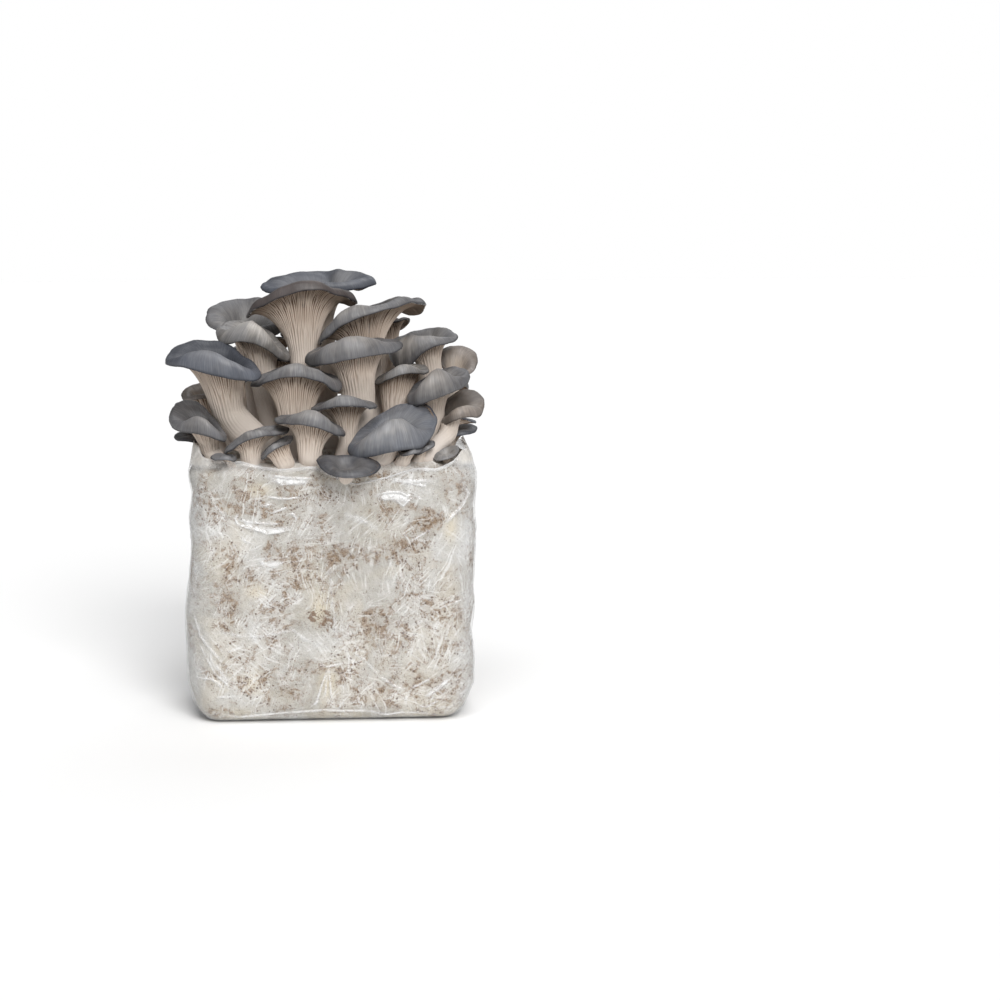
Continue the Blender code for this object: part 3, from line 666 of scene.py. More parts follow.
        floor = np.array([np.interp(away[k], underReach[:, k], underRise[:, k])
                          for k in range(len(angle))])
        spare = high - floor - flesh * (0.3 + 0.7 * smooth(0, 0.5, t))
        raised = 0.5 * (np.sqrt(spare ** 2 + 0.8) - spare) * smooth(0, 0.12, t)
        if step == d["bowl"]:
            raised = np.full(len(angle), raised.mean())
        add(points + np.outer(raised, axis), t, 2)
    return np.array(rings), np.array(alongs), np.array(parts), width


def spinSleeve(rows, steps, openTop=False):
    # A line of rings spun into a closed skin: x and y give the place round it, z the ring.
    body = bmesh.new()
    last = rows - 1
    line = []
    for row in range(rows):
        pole = row == 0 or (row == last and not openTop)
        line.append(body.verts.new((0.0 if pole else 1.0, 0.0, row)))
    edges = [body.edges.new(pair) for pair in zip(line, line[1:])]
    bmesh.ops.spin(body, geom=line + edges, axis=(0, 0, 1), cent=(0, 0, 0), angle=tau,
                   steps=steps, use_merge=True)
    bmesh.ops.remove_doubles(body, verts=body.verts, dist=1e-4)
    bmesh.ops.recalc_face_normals(body, faces=body.faces)
    return body


def cutRings(body, cuts, upTo=1e9):
    # Cuts every stretch of each ring into equal parts, up to one ring.
    level = [edge for edge in body.edges
             if abs(edge.verts[0].co.z - edge.verts[1].co.z) < 0.5 and edge.verts[0].co.z < upTo]
    bmesh.ops.subdivide_edges(body, edges=level, cuts=cuts)


def meshFrom(body, name):
    mesh = bpy.data.meshes.new(name)
    body.to_mesh(mesh)
    body.free()
    return mesh


def moveTo(mesh, points):
    # Puts the vertices at points given in millimetres.
    mesh.vertices.foreach_set("co", (points * 0.001).astype(np.float32).ravel())


def readSleeve(mesh):
    flat = np.empty(len(mesh.vertices) * 3, np.float32)
    mesh.vertices.foreach_get("co", flat)
    return flat.reshape(-1, 3)


def readGrid(mesh, steps):
    # Each vertex's ring and its place round it.
    flat = readSleeve(mesh)
    row = np.rint(flat[:, 2]).astype(int)
    around = np.rint(np.arctan2(flat[:, 1], flat[:, 0]) / tau * steps).astype(int) % steps
    return row, around


def readFaces(mesh):
    # The vertex at each face corner, where each face starts, and each corner's face.
    corners = np.empty(len(mesh.loops), np.int32)
    first = np.empty(len(mesh.polygons), np.int32)
    total = np.empty(len(mesh.polygons), np.int32)
    mesh.loops.foreach_get("vertex_index", corners)
    mesh.polygons.foreach_get("loop_start", first)
    mesh.polygons.foreach_get("loop_total", total)
    return corners, first, np.repeat(np.arange(len(first)), total)


def finishMesh(mesh, roundShare, alongShare, isPole):
    # Adds a map for baking: once round the piece across it, and along the skin up it.
    mesh.shade_smooth()
    corners, first, face = readFaces(mesh)
    pole = isPole[corners]
    u = np.where(pole, 0.0, roundShare[corners])
    highest = np.maximum.reduceat(u, first)[face]
    u = np.where((highest > 0.75) & (u < 0.25) & ~pole, u + 1, u)
    mean = np.add.reduceat(u, first) / np.maximum(np.add.reduceat((~pole).astype(float), first), 1)
    u = np.where(pole, mean[face], u)
    flat = np.empty(len(corners) * 2, np.float32)
    flat[0::2] = 0.004 + 0.99 * u
    flat[1::2] = 0.004 + 0.99 * alongShare[corners]
    layer = mesh.uv_layers.new(name="OFBake", do_init=False)
    layer.uv.foreach_set("vector", flat)
    mesh.update()


def addNumbers(mesh, name, values, kind="FLOAT"):
    made = mesh.attributes.new(name, kind, "POINT")
    made.data.foreach_set("vector" if kind == "FLOAT_VECTOR" else "value",
                          np.ascontiguousarray(values, np.float32).ravel())


def pieceFrom(mesh, name, nodes, slot, *materials):
    for material in materials:
        mesh.materials.append(material)
    piece = inScene(name, mesh)
    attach(piece, "root")
    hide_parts(*nodes)
    return piece


def makeMushroom(m, order, skins, flesh):
    d, g, c = detailBySize[m["size"]], gillSetup, capSetup
    rng = np.random.default_rng(100 + order)
    across = math.dist(m["left"], m["right"])
    gills = max(g["least"], round(math.pi * across / g["rimSpacing"] / 4))
    steps = gills * g["stepsEach"]
    angle = np.arange(steps) / steps * tau
    rings, along, part, width = profileOf(m, angle, rng)
    rows = len(rings)

    lengths = np.linalg.norm(np.diff(rings, axis=0), axis=2).mean(1)
    travelled = np.concatenate([[0], np.cumsum(lengths)])
    run = np.gradient(rings, axis=0)
    turn = np.roll(rings, -1, 1) - np.roll(rings, 1, 1)
    normal = unit(np.cross(turn, run))

    reach = np.where(part < 2, along, 1.0)[:, None] + 0 * angle[None]
    ridge = gillRelief(angle[None] + 0 * reach, reach, gills, rng)
    under = (part < 2)[:, None]
    depth = np.where(under, table(g["depthAt"], reach) * d["depth"], 0)
    valley = np.where(under, 1 - ridge, 0)
    rings = rings - normal * (depth * valley)[:, :, None]

    top = np.where(part == 2)[0]
    fromRim = np.zeros(rows)
    fromRim[top] = travelled[top] - travelled[top[0]]
    # the dark band at the margin is wider at the two ends and the back than at the front: painted
    # shade and light by how each side faces the light
    local = np.concatenate([np.zeros((1, steps)),
                            np.cumsum(np.linalg.norm(np.diff(rings, axis=0), axis=2), axis=0)])
    share = (between(c["marginShadeShare"], angle)
             + c["marginWander"] * ripple(angle, 0 * angle, (2, 3, 5), rng))
    byWidth = np.clip(math.sqrt(c["usualWidth"] / width), 0.85, 1.6)
    marginReach = np.maximum(0, local - local[top[0]]) * share * byWidth
    # soft dents all over the cap, and shallow folds that run in from its margin
    dents = ripple(angle[None], fromRim[:, None] / c["dentLength"], (2, 3, 5, 7), rng)
    folds = ripple(angle[None], fromRim[:, None] / c["foldLength"], (13, 17, 23, 31), rng)
    heartward = smooth(0, 6, travelled[-1] - travelled)[:, None]
    shape = (c["dentHeight"] * dents * smooth(1, 10, fromRim)[:, None]
             + c["foldHeight"] * folds * smooth(0.5, 4, fromRim)[:, None]
             * np.exp(-fromRim / c["foldReach"])[:, None]) * width / c["usualWidth"] * heartward
    rings = rings + normal * np.where(under, 0, shape)[:, :, None]
    rings[0], rings[-1] = rings[0].mean(0), rings[-1].mean(0)

    body = spinSleeve(rows, gills)
    cutRings(body, 1)
    cutRings(body, g["stepsEach"] // 2 - 1, top[0] + d["lip"] // 2 + 0.5)
    mesh = meshFrom(body, "oyster_" + m["name"])
    row, around = readGrid(mesh, steps)
    moveTo(mesh, rings[row, around])
    isPole = (row == 0) | (row == rows - 1)

    grain = np.stack([np.cos(angle[around]), np.sin(angle[around]),
                      travelled[row] / c["grainLength"]], 1)
    grain[:, :2] *= across / c["grainWidth"]
    grain[isPole, :2] = 0
    # painted shade: darker deep in the bowl and over the cap's far half
    inBowl = smooth(0, 0.80, np.where(part == 2, along, 0))[:, None]
    paintedFarShade = m.get("paintedBackShade", 0.0) * smooth(0.0, 0.5, np.sin(angle))[None]
    paintedBowlShade = m.get("bowl", 0.25) * inBowl + (1 - inBowl) * paintedFarShade * (part == 2)[:, None]
    addNumbers(mesh, "grain", grain, "FLOAT_VECTOR")
    # valley: painted shade between the gills
    for name, values in (("valley", valley * table(g["valleyShadeAt"], reach) * under),
                         ("reach", reach),
                         ("fromRim", marginReach / c["marginScale"]),
                         # painted shadow that the cap casts on its gills
                         ("paintedGillShadow", m.get("under", 0.0) * (smooth(0.1, 0.8, reach) * under)),
                         ("paintedBowlShade", np.minimum(paintedBowlShade, 1))):
        addNumbers(mesh, name, values[row, around])

    corners, first, _ = readFaces(mesh)
    slots = (np.minimum.reduceat(row[corners], first) < top[0]).astype(np.int32)
    mesh.polygons.foreach_set("material_index", slots)
    finishMesh(mesh, around / steps, (travelled / travelled[-1])[row], isPole)
    return pieceFrom(mesh, "oyster_" + m["name"], ["mushroom_" + m["name"]], "mushroom_flesh",
                     skins[m["look"]], flesh)


# streaks in the skin: how fine they are round and along it, and their contrast
capStreaks = ((7.0, 1.4, 1.8), (52.0, 4.0, 1.6), (110.0, 9.0, 1.6))
gillStreaks = ((7.0, 2.0, 1.5), (60.0, 3.0, 1.5))


def makeCapSkin(name, colours, fibres, patches):
    # Silky cap skin: dark at its margin, partly in colour and partly as painted shade, paler towards
    # the crown, with radial streaks and painted shade in the bowl and over the far half.
    skin, tree, shader = newMaterial(name, {"Specular IOR Level": 0.45})
    margin, band, crown, heart = colours
    fromRim = attribute(tree, "fromRim")
    broad, fine, hair = streaksOf(tree, fibres, capStreaks)
    blotch = patchOf(tree, patches, 38.0, 3.0, 0.32, 0.68, 0.4)
    shifted = plus(tree, fromRim, times(tree, mathOf(tree, "SUBTRACT", broad, 0.5), 0.34))
    near, halfway = (tuple(b + share * (c - b) for b, c in zip(band, crown))
                     for share in (0.10, 0.50))
    tone = rampOf(tree, shifted, ((0.0, band), (1.0, heart), (0.66, crown), (0.16, near),
                                  (0.38, halfway)), "EASE")
    rimLine = stepMask(tree, plus(tree, fromRim, times(tree, fine, 0.02)), 0.085, 0.035)
    nicks = patchOf(tree, patches, 420.0, 1.0, 0.54, 0.60)
    worn = times(tree, nicks, stepMask(tree, fromRim, 0.030, 0.010))
    tone = layered(tree, tone, (
        (blotch, 0.55, tuple(a * b for a, b in zip(crown, (0.62, 0.68, 0.79)))),
        # painted shade in the bowl and on the far half
        (attribute(tree, "paintedBowlShade"), 1, scaled(band, 0.6)),
        (fine, 0.42, scaled(band, 0.4)),
        (stepMask(tree, fine, 0.6, 0.0), 0.12, scaled(crown, 1.55)),
        (hair, 0.22, scaled(band, 0.6)),
        (rimLine, 0.85, margin),
        (worn, 0.85, (0.62, 0.58, 0.54))))
    tree.links.new(tone, shader.inputs["Base Color"])
    rough = addNode(tree, "ShaderNodeMapRange", {"Value": fine, "To Min": 0.34, "To Max": 0.52})
    tree.links.new(rough.outputs["Result"], shader.inputs["Roughness"])
    relief = plus(tree, times(tree, fine, 0.6), times(tree, hair, 0.35))
    feedNormal(tree, shader, 0.3, 0.0005, plus(tree, relief, times(tree, broad, 0.3)))
    return skin


gillColours = dict(  # from the foot (0) through the throat (0.5) to the rim (1)
    # the ridges darken towards the rim partly in colour and partly as painted shade under the cap; the
    # valley colours are painted shade between the gills
    ridges=((0.0, (0.74, 0.675, 0.625)), (1.0, (0.20, 0.145, 0.105)), (0.25, (0.70, 0.635, 0.58)),
            (0.5, (0.70, 0.62, 0.55)), (0.75, (0.64, 0.535, 0.45)), (0.90, (0.36, 0.265, 0.195))),
    shadedValleys=((0.0, (0.46, 0.39, 0.335)), (1.0, (0.026, 0.014, 0.008)), (0.5, (0.33, 0.25, 0.195)),
             (0.72, (0.20, 0.132, 0.090)), (0.88, (0.055, 0.032, 0.018))))


def makeGillFlesh(fibres, patches):
    # Cream gills with painted shade in the valleys between them, darker towards the rim partly in
    # colour and partly as painted shade under the cap, running down into the pale stem.
    flesh, tree, shader = newMaterial("gillsAndStem", {"Roughness": 0.72, "Specular IOR Level": 0.3})
    reach = plus(tree, times(tree, attribute(tree, "reach"), 0.5), 0.5)
    broad, fine = streaksOf(tree, fibres, gillStreaks)
    ridges, shadedValleys = (rampOf(tree, reach, gillColours[key]) for key in ("ridges", "shadedValleys"))
    tone = layered(tree, ridges, (
        (patchOf(tree, patches, 70.0, 3.0, 0.35, 0.75), 0.20, (0.44, 0.36, 0.29)),
        (fine, 0.22, (0.40, 0.32, 0.26)),
        (broad, 0.14, (0.42, 0.36, 0.31)),
        # painted shadow on the gills under the cap
        (attribute(tree, "paintedGillShadow"), 1, (0.12, 0.082, 0.056)),
        # painted shade in the valleys between the gills
        (stepMask(tree, attribute(tree, "valley"), 0.15, 0.85), 1, shadedValleys)))
    tree.links.new(tone, shader.inputs["Base Color"])
    feedNormal(tree, shader, 0.3, 0.0005, fine)
    return flesh


bagSetup = dict(  # millimetres
    halfWidth=104.0, halfDepth=65.0, corner=26.0, bottomRadius=15.0, shoulder=186.0,
    shoulderRadius=7.0, filmInset=0.25, blockInset=1.0, blockTop=185.2, lean=0.27,
    bulge=1.3,  # how far the front and the back stand out in the middle
    filmSteps=192, filmSpacing=2.9, filmThickness=0.0002, creaseReach=1.8,
    blockSteps=288, blockSpacing=2.2,
    # how far each side pulls in at a height
    leftSide=((0, 3.0), (4, 5.0), (10, 4.6), (16, 3.3), (29, -0.7), (52, -1.1), (78, -1.5),
              (96, 0.4), (108, 2.5), (130, 4.1), (148, 2.4), (165, 5.0), (181, 2.0), (200, 1.6)),
    rightSide=((0, 3.0), (4.5, 5.6), (12.6, 4.8), (24, -0.2), (42, -1.1), (51, 0.0), (60, 1.8),
               (71, 0.4), (83, -1.5), (96, 0.0), (119, -1.5), (134, -1.8), (155, -0.9),
               (168, -2.4), (184, -2.5), (190, -2.0), (200, 1.4)),
    # the film's cut edge along the front: place across, and height
    frontEdge=((-104, 203), (-98, 200), (-92, 193), (-78, 190), (-63, 191), (-52, 188), (-36, 185),
               (-22, 186), (-14, 187), (-8, 186), (-3, 183), (5, 179), (14, 175), (20, 174),
               (32, 177), (42, 179), (53, 183), (63, 185), (77, 185), (88, 190), (97, 196),
               (104, 198)),
    sideEdge=198.0, backEdge=190.0, filmBendsFrom=150,
    # the film's soft unevenness all round, and what the sides have more of
    slack=0.30, ripple=0.12, sideSlack=0.55, sideRipple=0.25)

# Creases in the film: points along each on the front, in millimetres across and up, then how
# far it stands up, its half width and how strong the painted highlight along it is.
frontCreases = [
    (((-43, 181), (-30, 179), (-11, 178)), 0.9, 0.8, 0.9),
    (((-43, 181), (-40, 178), (-34, 174), (-23, 175), (-18, 176)), 0.8, 0.8, 0.8),
    (((-46, 166), (-41, 165), (-36, 164), (-29, 164), (-21, 165)), 0.7, 0.8, 0.8),
    (((-49, 159), (-40, 160)), 0.5, 0.7, 0.6),
    (((-64, 154), (-67, 150), (-65, 146), (-57, 143), (-49, 141), (-45, 139), (-36, 140),
      (-27, 142)), 1.0, 0.9, 0.9),
    (((-65, 149), (-54, 147), (-40, 146), (-33, 146)), 0.6, 0.8, 0.6),
    (((-41, 154), (-35, 156), (-30, 158)), 0.6, 0.8, 0.7),
    (((-29, 153), (-26, 153), (-23, 148)), 0.6, 0.8, 0.7),
    (((-64, 138), (-59, 133), (-54, 132)), 0.5, 0.8, 0.5),
    (((-52, 120), (-46, 115), (-37, 117), (-31, 119)), 0.6, 1.3, 0.35),
    (((-82, 160), (-78, 156), (-75, 153)), 0.6, 0.8, 0.6),
    (((54, 175), (62, 176), (69, 176)), 0.7, 0.8, 0.8),
    (((54, 175), (58, 174), (67, 172), (69, 176)), 0.7, 0.8, 0.8),
    (((32, 166), (41, 168), (50, 168), (55, 165), (60, 166)), 0.8, 0.8, 0.9),
    (((32, 166), (39, 163), (46, 163), (52, 158), (55, 161), (60, 165)), 0.8, 0.9, 0.8),
    (((36, 165), (46, 165.5), (56, 163)), 0.4, 1.8, 0.45),
    (((62, 165), (65, 162)), 0.5, 0.7, 0.6),
    (((95, 171), (98, 165), (95, 158), (88, 151), (82, 145)), 0.9, 1.6, 0.6),
    (((57, 132), (65, 137), (72, 141)), 0.5, 0.9, 0.5),
    (((-84, 67), (-76, 68), (-64, 65), (-48, 65), (-34, 68), (-27, 69), (-20, 63), (-6, 57)),
     0.7, 1.4, 0.3),
    (((-98, 83), (-93, 65), (-87, 57), (-80, 49), (-77, 44)), 0.8, 1.2, 0.45),
    (((-94, 60), (-83, 38), (-69, 25)), 0.8, 1.0, 0.6),
    (((-97, 34), (-86, 34), (-81, 31), (-77, 26)), 0.7, 0.9, 0.6),
    (((-82, 21), (-70, 21)), 0.5, 0.7, 0.7),
    (((-2, 42), (-7, 29), (-11, 16), (-16, 12)), 0.9, 1.0, 0.6),
    (((-2, 42), (-4, 30), (-5, 19)), 0.8, 0.9, 0.5),
    (((-2, 42), (-1, 28), (0, 15)), 0.9, 1.0, 0.6),
    (((-9, 44), (-2, 42), (6, 44)), 0.6, 0.9, 0.5),
    (((-88, 10), (-67, 5), (-37, 8), (-5, 10), (6, 9), (23, 9), (30, 8), (39, 5), (49, 7),
      (66, 6), (80, 3)), 0.8, 0.9, 0.8),
    (((56, 25), (63, 28), (71, 32)), 0.6, 0.9, 0.6),
    (((67, 19), (75, 24), (83, 30)), 0.8, 0.9, 0.9),
    (((62, 12), (68, 11), (77, 16)), 0.6, 0.8, 0.7),
    (((-1, 116), (1, 91), (3, 67), (6, 58)), 0.8, 1.3, 0.25),
    (((76, 83), (85, 86), (95, 89)), 0.7, 0.9, 0.5),
    (((12, 55), (24, 46), (35, 34), (45, 27), (54, 23)), 0.8, 1.5, 0.3),
    # the wide, low entries below are painted glints: highlights drawn as white patches on the film
    (((-42, 178), (-30, 176.5), (-14, 176)), 0.3, 2.6, 0.75),
    (((34, 165), (46, 165), (58, 162)), 0.3, 3.6, 0.75),
    (((-63, 150), (-55, 143.5), (-40, 141), (-28, 143)), 0.3, 2.2, 0.6),
    (((42, 177), (56, 175), (74, 176)), 0.3, 1.9, 0.7),
    (((68, 19), (76, 24.5), (84, 31)), 0.3, 1.8, 0.9),
    (((-90, 58), (-83, 44), (-72, 30)), 0.3, 2.2, 0.4),
    (((-50, 121), (-44, 116), (-34, 118)), 0.3, 3.0, 0.5),
    (((10, 152), (22, 148), (36, 140)), 0.4, 3.0, 0.35)]

blockRelief = dict(  # noise in space (scale, shift, octaves), and how much of each counts
    noise=((1 / 26, 3.0, 1), (1 / 9, 8.0, 2), (1 / 3.2, 5.0, 1)),
    wall=(0.5, 0.45, 0.18), wallStart=0.5, top=(1.6, 1.5, 0.5), topDrop=0.9)

blockMarks = dict(  # on the block's front: place across, height, and size across and up
    moundHeight=3.4,  # how far the block rises round each foot
    stains=((-52, 97, 8, 5), (-58, 32, 8, 6), (-51, 170, 9, 5), (86, 141, 5, 9),
            (-3, 30, 6, 15), (-72, 5, 22, 6), (66, 5, 26, 7), (5, 5, 20, 6), (-8, 84, 5, 10)),
    bare=((-12, 79, 5, 4), (-5, 77, 6, 7), (-2, 72, 4, 5)))


def outlineOf(setup):
    # The bag's outline seen from above, once round from the middle of its back past its left
    # side: how far round each point is, the point, and the way out of it.
    a, b, c = setup["halfWidth"], setup["halfDepth"], setup["corner"]
    points, ways = [(0.0, b)], [(0.0, 1.0)]
    for quarter, (sideX, sideY) in enumerate(((-1, 1), (-1, -1), (1, -1), (1, 1))):
        for step in range(25):
            turn = math.pi / 2 * (1 + quarter + step / 24)
            way = (math.cos(turn), math.sin(turn))
            points.append((sideX * (a - c) + c * way[0], sideY * (b - c) + c * way[1]))
            ways.append(way)
    points.append((0.0, b))
    ways.append((0.0, 1.0))
    points, ways = np.array(points), np.array(ways)
    travelled = np.concatenate([[0], np.cumsum(np.linalg.norm(np.diff(points, axis=0), axis=1))])
    return travelled, points, ways


def wrapOf(setup, across):
    # How far round from the middle of the front a point seen from the front lies.
    flat, corner = setup["halfWidth"] - setup["corner"], setup["corner"]
    over = np.clip((np.abs(across) - flat) / corner, 0, 1)
    return np.sign(across) * np.where(np.abs(across) <= flat, np.abs(across),
                                      flat + corner * np.arcsin(over))


def profileRows(setup, inset, spacing, closed):
    # Rings up the block or the film: how far each lies in from the wall, how far it is drawn in
    # to the middle, and its height.
    radius, low = setup["bottomRadius"] - inset, inset
    rows = [(radius, 1 - step / 10, low) for step in range(10)]
    for step in range(7):
        turn = math.pi / 2 * step / 6
        rows.append((radius * (1 - math.sin(turn)), 0, low + radius * (1 - math.cos(turn))))
    top = setup["blockTop"] - setup["shoulderRadius"] if closed else setup["shoulder"]
    count = round((top - low - radius) / spacing)
    for step in range(1, count + 1):
        rows.append((0, 0, low + radius + (top - low - radius) * step / count))
    if closed:
        bend = setup["shoulderRadius"]
        for step in range(1, 6):
            turn = math.pi / 2 * step / 5
            rows.append((bend * (1 - math.cos(turn)), 0, top + bend * math.sin(turn)))
        rows += [(bend, step / 26, top + bend) for step in range(1, 27)]
    return np.array(rows)


def topEdgeOf(setup, around):
    # The height of the film's cut edge, at a distance round from the middle of the front.
    edge = np.array(setup["frontEdge"], float)
    places = wrapOf(setup, edge[:, 0])
    side = setup["halfWidth"] - setup["corner"] + setup["corner"] * math.pi / 2
    back = side + 2 * (setup["halfDepth"] - setup["corner"])
    x = np.concatenate([[-back - 30, -back - 8, -back, -side - 40], places,
                        [side + 40, back, back + 8, back + 30]])
    z = np.concatenate([[setup["backEdge"], setup["backEdge"] + 5, 197, setup["sideEdge"]],
                        edge[:, 1],
                        [setup["sideEdge"] - 1, 196, setup["backEdge"] + 4, setup["backEdge"]]])
    wobble = 0.5 * np.sin(around / 7.3) + 0.35 * np.sin(around / 3.1 + 1) + 0.8 * np.sin(around / 19)
    flat = np.interp(around, x, z)
    return flat + wobble * smooth(60, 110, np.abs(around)) + 0.25 * wobble


def placeOnBag(setup, outline, around, w, f, z, inset):
    # Millimetre positions: around is the distance round from the middle of the front.
    travelled, points, ways = outline
    s = around + travelled[-1] / 2
    x, y = (np.interp(s, travelled, points[:, k]) for k in (0, 1))
    wayX, wayY = (np.interp(s, travelled, ways[:, k]) for k in (0, 1))
    pulled = np.where(x < 0, table(setup["leftSide"], z), table(setup["rightSide"], z))
    middle = np.sin(np.clip(z / setup["shoulder"], 0, 1) * math.pi)
    flank = np.cos(np.clip(x / setup["halfWidth"], -1, 1) * math.pi / 2)
    bulge = setup["bulge"] * middle * np.abs(wayY) ** 3 * flank
    w = w + inset + pulled * wayX ** 2 - bulge
    return np.stack([(x - wayX * w) * (1 - f), (y - wayY * w) * (1 - f), z], -1), wayX, wayY


def unevenness(points, scale, shift, octaves=1):
    # Soft noise at each point, about -1 to 1; the scale is in features a millimetre.
    move = Vector((shift, shift * 0.7, -shift))
    found = np.empty(len(points))
    for k, point in enumerate(points):
        at = Vector(point) * scale + move
        value = noise.noise(at)
        if octaves > 1:
            value += 0.5 * noise.noise(at * 2.1)
        found[k] = value
    return found


def makeBlock(setup, outline, surface):
    rows = profileRows(setup, setup["blockInset"], setup["blockSpacing"], True)
    steps = setup["blockSteps"]
    body = spinSleeve(len(rows), steps // 4)
    cutRings(body, 3)
    mesh = meshFrom(body, "myceliumBlock")
    row, turned = readGrid(mesh, steps)
    around = (turned / steps - 0.5) * outline[0][-1]
    w, f, z = rows[row].T
    points, wayX, wayY = placeOnBag(setup, outline, around, w, f, z, setup["blockInset"])
    top = smooth(setup["blockTop"] - setup["shoulderRadius"], setup["blockTop"] - 1, z)
    waves = [unevenness(points, *look) for look in blockRelief["noise"]]
    dent = sum((part * wave for part, wave in zip(blockRelief["wall"], waves)),
               blockRelief["wallStart"])
    wall = (f == 0) & (z > 2)
    for axis, way in enumerate((wayX, wayY)):
        points[:, axis] -= np.where(wall, way * np.clip(dent, -0.3, 1.6) * (1 - top), 0)
    lift = sum(part * wave for part, wave in zip(blockRelief["top"], waves)) - blockRelief["topDrop"]
    mound = np.zeros(len(points))
    for m in mushrooms:
        away = np.hypot(points[:, 0] - m["foot"][0], points[:, 1] - m["foot"][1]) - m["stem"][0]
        mound = np.maximum(mound, blockMarks["moundHeight"] * np.exp(-(np.maximum(away, 0) / 4.5) ** 2))
    mound *= top
    edgeFade = np.where(f > 0, 1.0, 0.35)
    points[:, 2] += top * edgeFade * (lift * (1 - np.minimum(mound, 2) / 3) + mound)
    moveTo(mesh, points)

    front = (points[:, 1] < -40).astype(float)
    stain, bare = np.zeros(len(points)), np.zeros(len(points))
    for marks, into in ((blockMarks["stains"], stain), (blockMarks["bare"], bare)):
        for x, height, wide, high in marks:
            away = np.hypot((points[:, 0] - x) / wide, (points[:, 2] - height) / high)
            into[:] = np.maximum(into, front * np.exp(-away ** 2))
    scattered = unevenness(points, 1 / 30, 21.0)
    stain = np.maximum(stain, (1 - front) * smooth(0.35, 0.55, scattered) * 0.8)
    bare = np.maximum(bare, (1 - front) * smooth(0.5, 0.62, unevenness(points, 1 / 17, 33.0)))
    addNumbers(mesh, "stain", stain)
    addNumbers(mesh, "bare", bare)
    addNumbers(mesh, "moundShare", mound / blockMarks["moundHeight"])
    along = np.linspace(0, 1, len(rows))
    finishMesh(mesh, turned / steps, along[row], (row == 0) | (row == len(rows) - 1))
    return pieceFrom(mesh, "myceliumBlock", ["substrate_block"], "mycelium_block", surface)


def sideCreases(setup, reach):
    # Creases for the sides and the back: short arcs near the top and bottom, and long soft folds
    # down the middle of each gusset.
    rng = random.Random(41)
    side = setup["halfWidth"] - setup["corner"] + setup["corner"] * math.pi / 2
    gusset = side + setup["halfDepth"] - setup["corner"]
    made = []
    for way in (-1, 1):
        for start, end, shift in ((178, 118, 0), (70, 16, 3), (150, 96, -17), (120, 60, 19)):
            line = [(way * (gusset + shift + 4 * math.sin(k * 1.3 + shift)),
                     start + (end - start) * k / 5) for k in range(6)]
            made.append((line, 1.0, 1.4, 0.22))
        for ray in (-13, -6, 5, 14):
            made.append((((way * gusset, 46), (way * gusset + ray * 0.6, 28),
                          (way * gusset + ray, 12)), 0.8, 1.0, 0.30))
    for count, low, high in ((16, 128, 182), (9, 8, 40), (8, 45, 125)):
        for _ in range(count):
            q = rng.uniform(118, reach - 4) * rng.choice((-1, 1))
            z = rng.uniform(low, high)
            heading, bend = rng.uniform(-0.7, 0.7), rng.uniform(-0.25, 0.25)
            step = rng.uniform(3.5, 7)
            line = []
            for k in range(rng.randint(4, 6)):
                line.append((q, z))
                q, z = q + step * math.cos(heading), z + step * math.sin(heading)
                heading += bend
            made.append((line, rng.uniform(0.5, 0.9), rng.uniform(0.7, 1.1), rng.uniform(0.5, 0.9)))
    return made


def creaseField(creases, around, z):
    # How far the film stands up at each point, how much highlight is painted there, and how near a
    # crease is.
    height, paintedHighlight = np.zeros(len(z)), np.zeros(len(z))
    nearest = np.full(len(z), 99.0)
    for line, rise, halfWidth, strength in creases:
        line = np.array(line, float)
        margin = 6
        box = ((around > line[:, 0].min() - margin) & (around < line[:, 0].max() + margin)
               & (z > line[:, 1].min() - margin) & (z < line[:, 1].max() + margin))
        spots = np.where(box)[0]
        if not len(spots):
            continue
        p = np.stack([around[spots], z[spots]], 1)
        lengths = np.linalg.norm(np.diff(line, axis=0), axis=1)
        whole, gone = lengths.sum(), 0.0
        best, share, across = np.full(len(p), 99.0), np.zeros(len(p)), np.zeros(len(p))
        for a, b, length in zip(line, line[1:], lengths):
            way = (b - a) / length
            t = np.clip((p - a) @ way, 0, length)
            off = p - a - np.outer(t, way)
            away = np.linalg.norm(off, axis=1)
            closer = away < best
            best = np.where(closer, away, best)
            share = np.where(closer, (gone + t) / whole, share)
            across = np.where(closer, off[:, 0] * way[1] - off[:, 1] * way[0], across)
            gone += length
        taper = np.clip(np.minimum(share, 1 - share) * 5 + 0.12, 0, 1)
        ridge = np.exp(-(best / halfWidth) ** 2)
        dip = np.exp(-((across - 2.0 * halfWidth) / (1.3 * halfWidth)) ** 2) * (best < 99)
        height[spots] += rise * taper * (ridge - 0.35 * dip)
        paintedHighlight[spots] = np.maximum(paintedHighlight[spots], strength * taper
                                  * np.exp(-(best / (0.75 * halfWidth)) ** 2))
        nearest[spots] = np.minimum(nearest[spots], best / max(1.0, halfWidth))
    return height, paintedHighlight, nearest


def filmPlace(setup, outline, flat, rows):
    # Where each point of the unrolled sleeve lies round the bag, and its profile there.
    turned = (np.arctan2(flat[:, 1], flat[:, 0]) / tau) % 1.0
    around = (turned - 0.5) * outline[0][-1]
    at = np.clip(flat[:, 2], 0, len(rows) - 1)
    w, f, z = (np.interp(at, np.arange(len(rows)), rows[:, k]) for k in range(3))
    top = topEdgeOf(setup, around)
    start = setup["filmBendsFrom"]
    z = np.where(z > start, start + (z - start) * (top - start) / (setup["shoulder"] - start), z)
    return turned, around, w, f, z, top


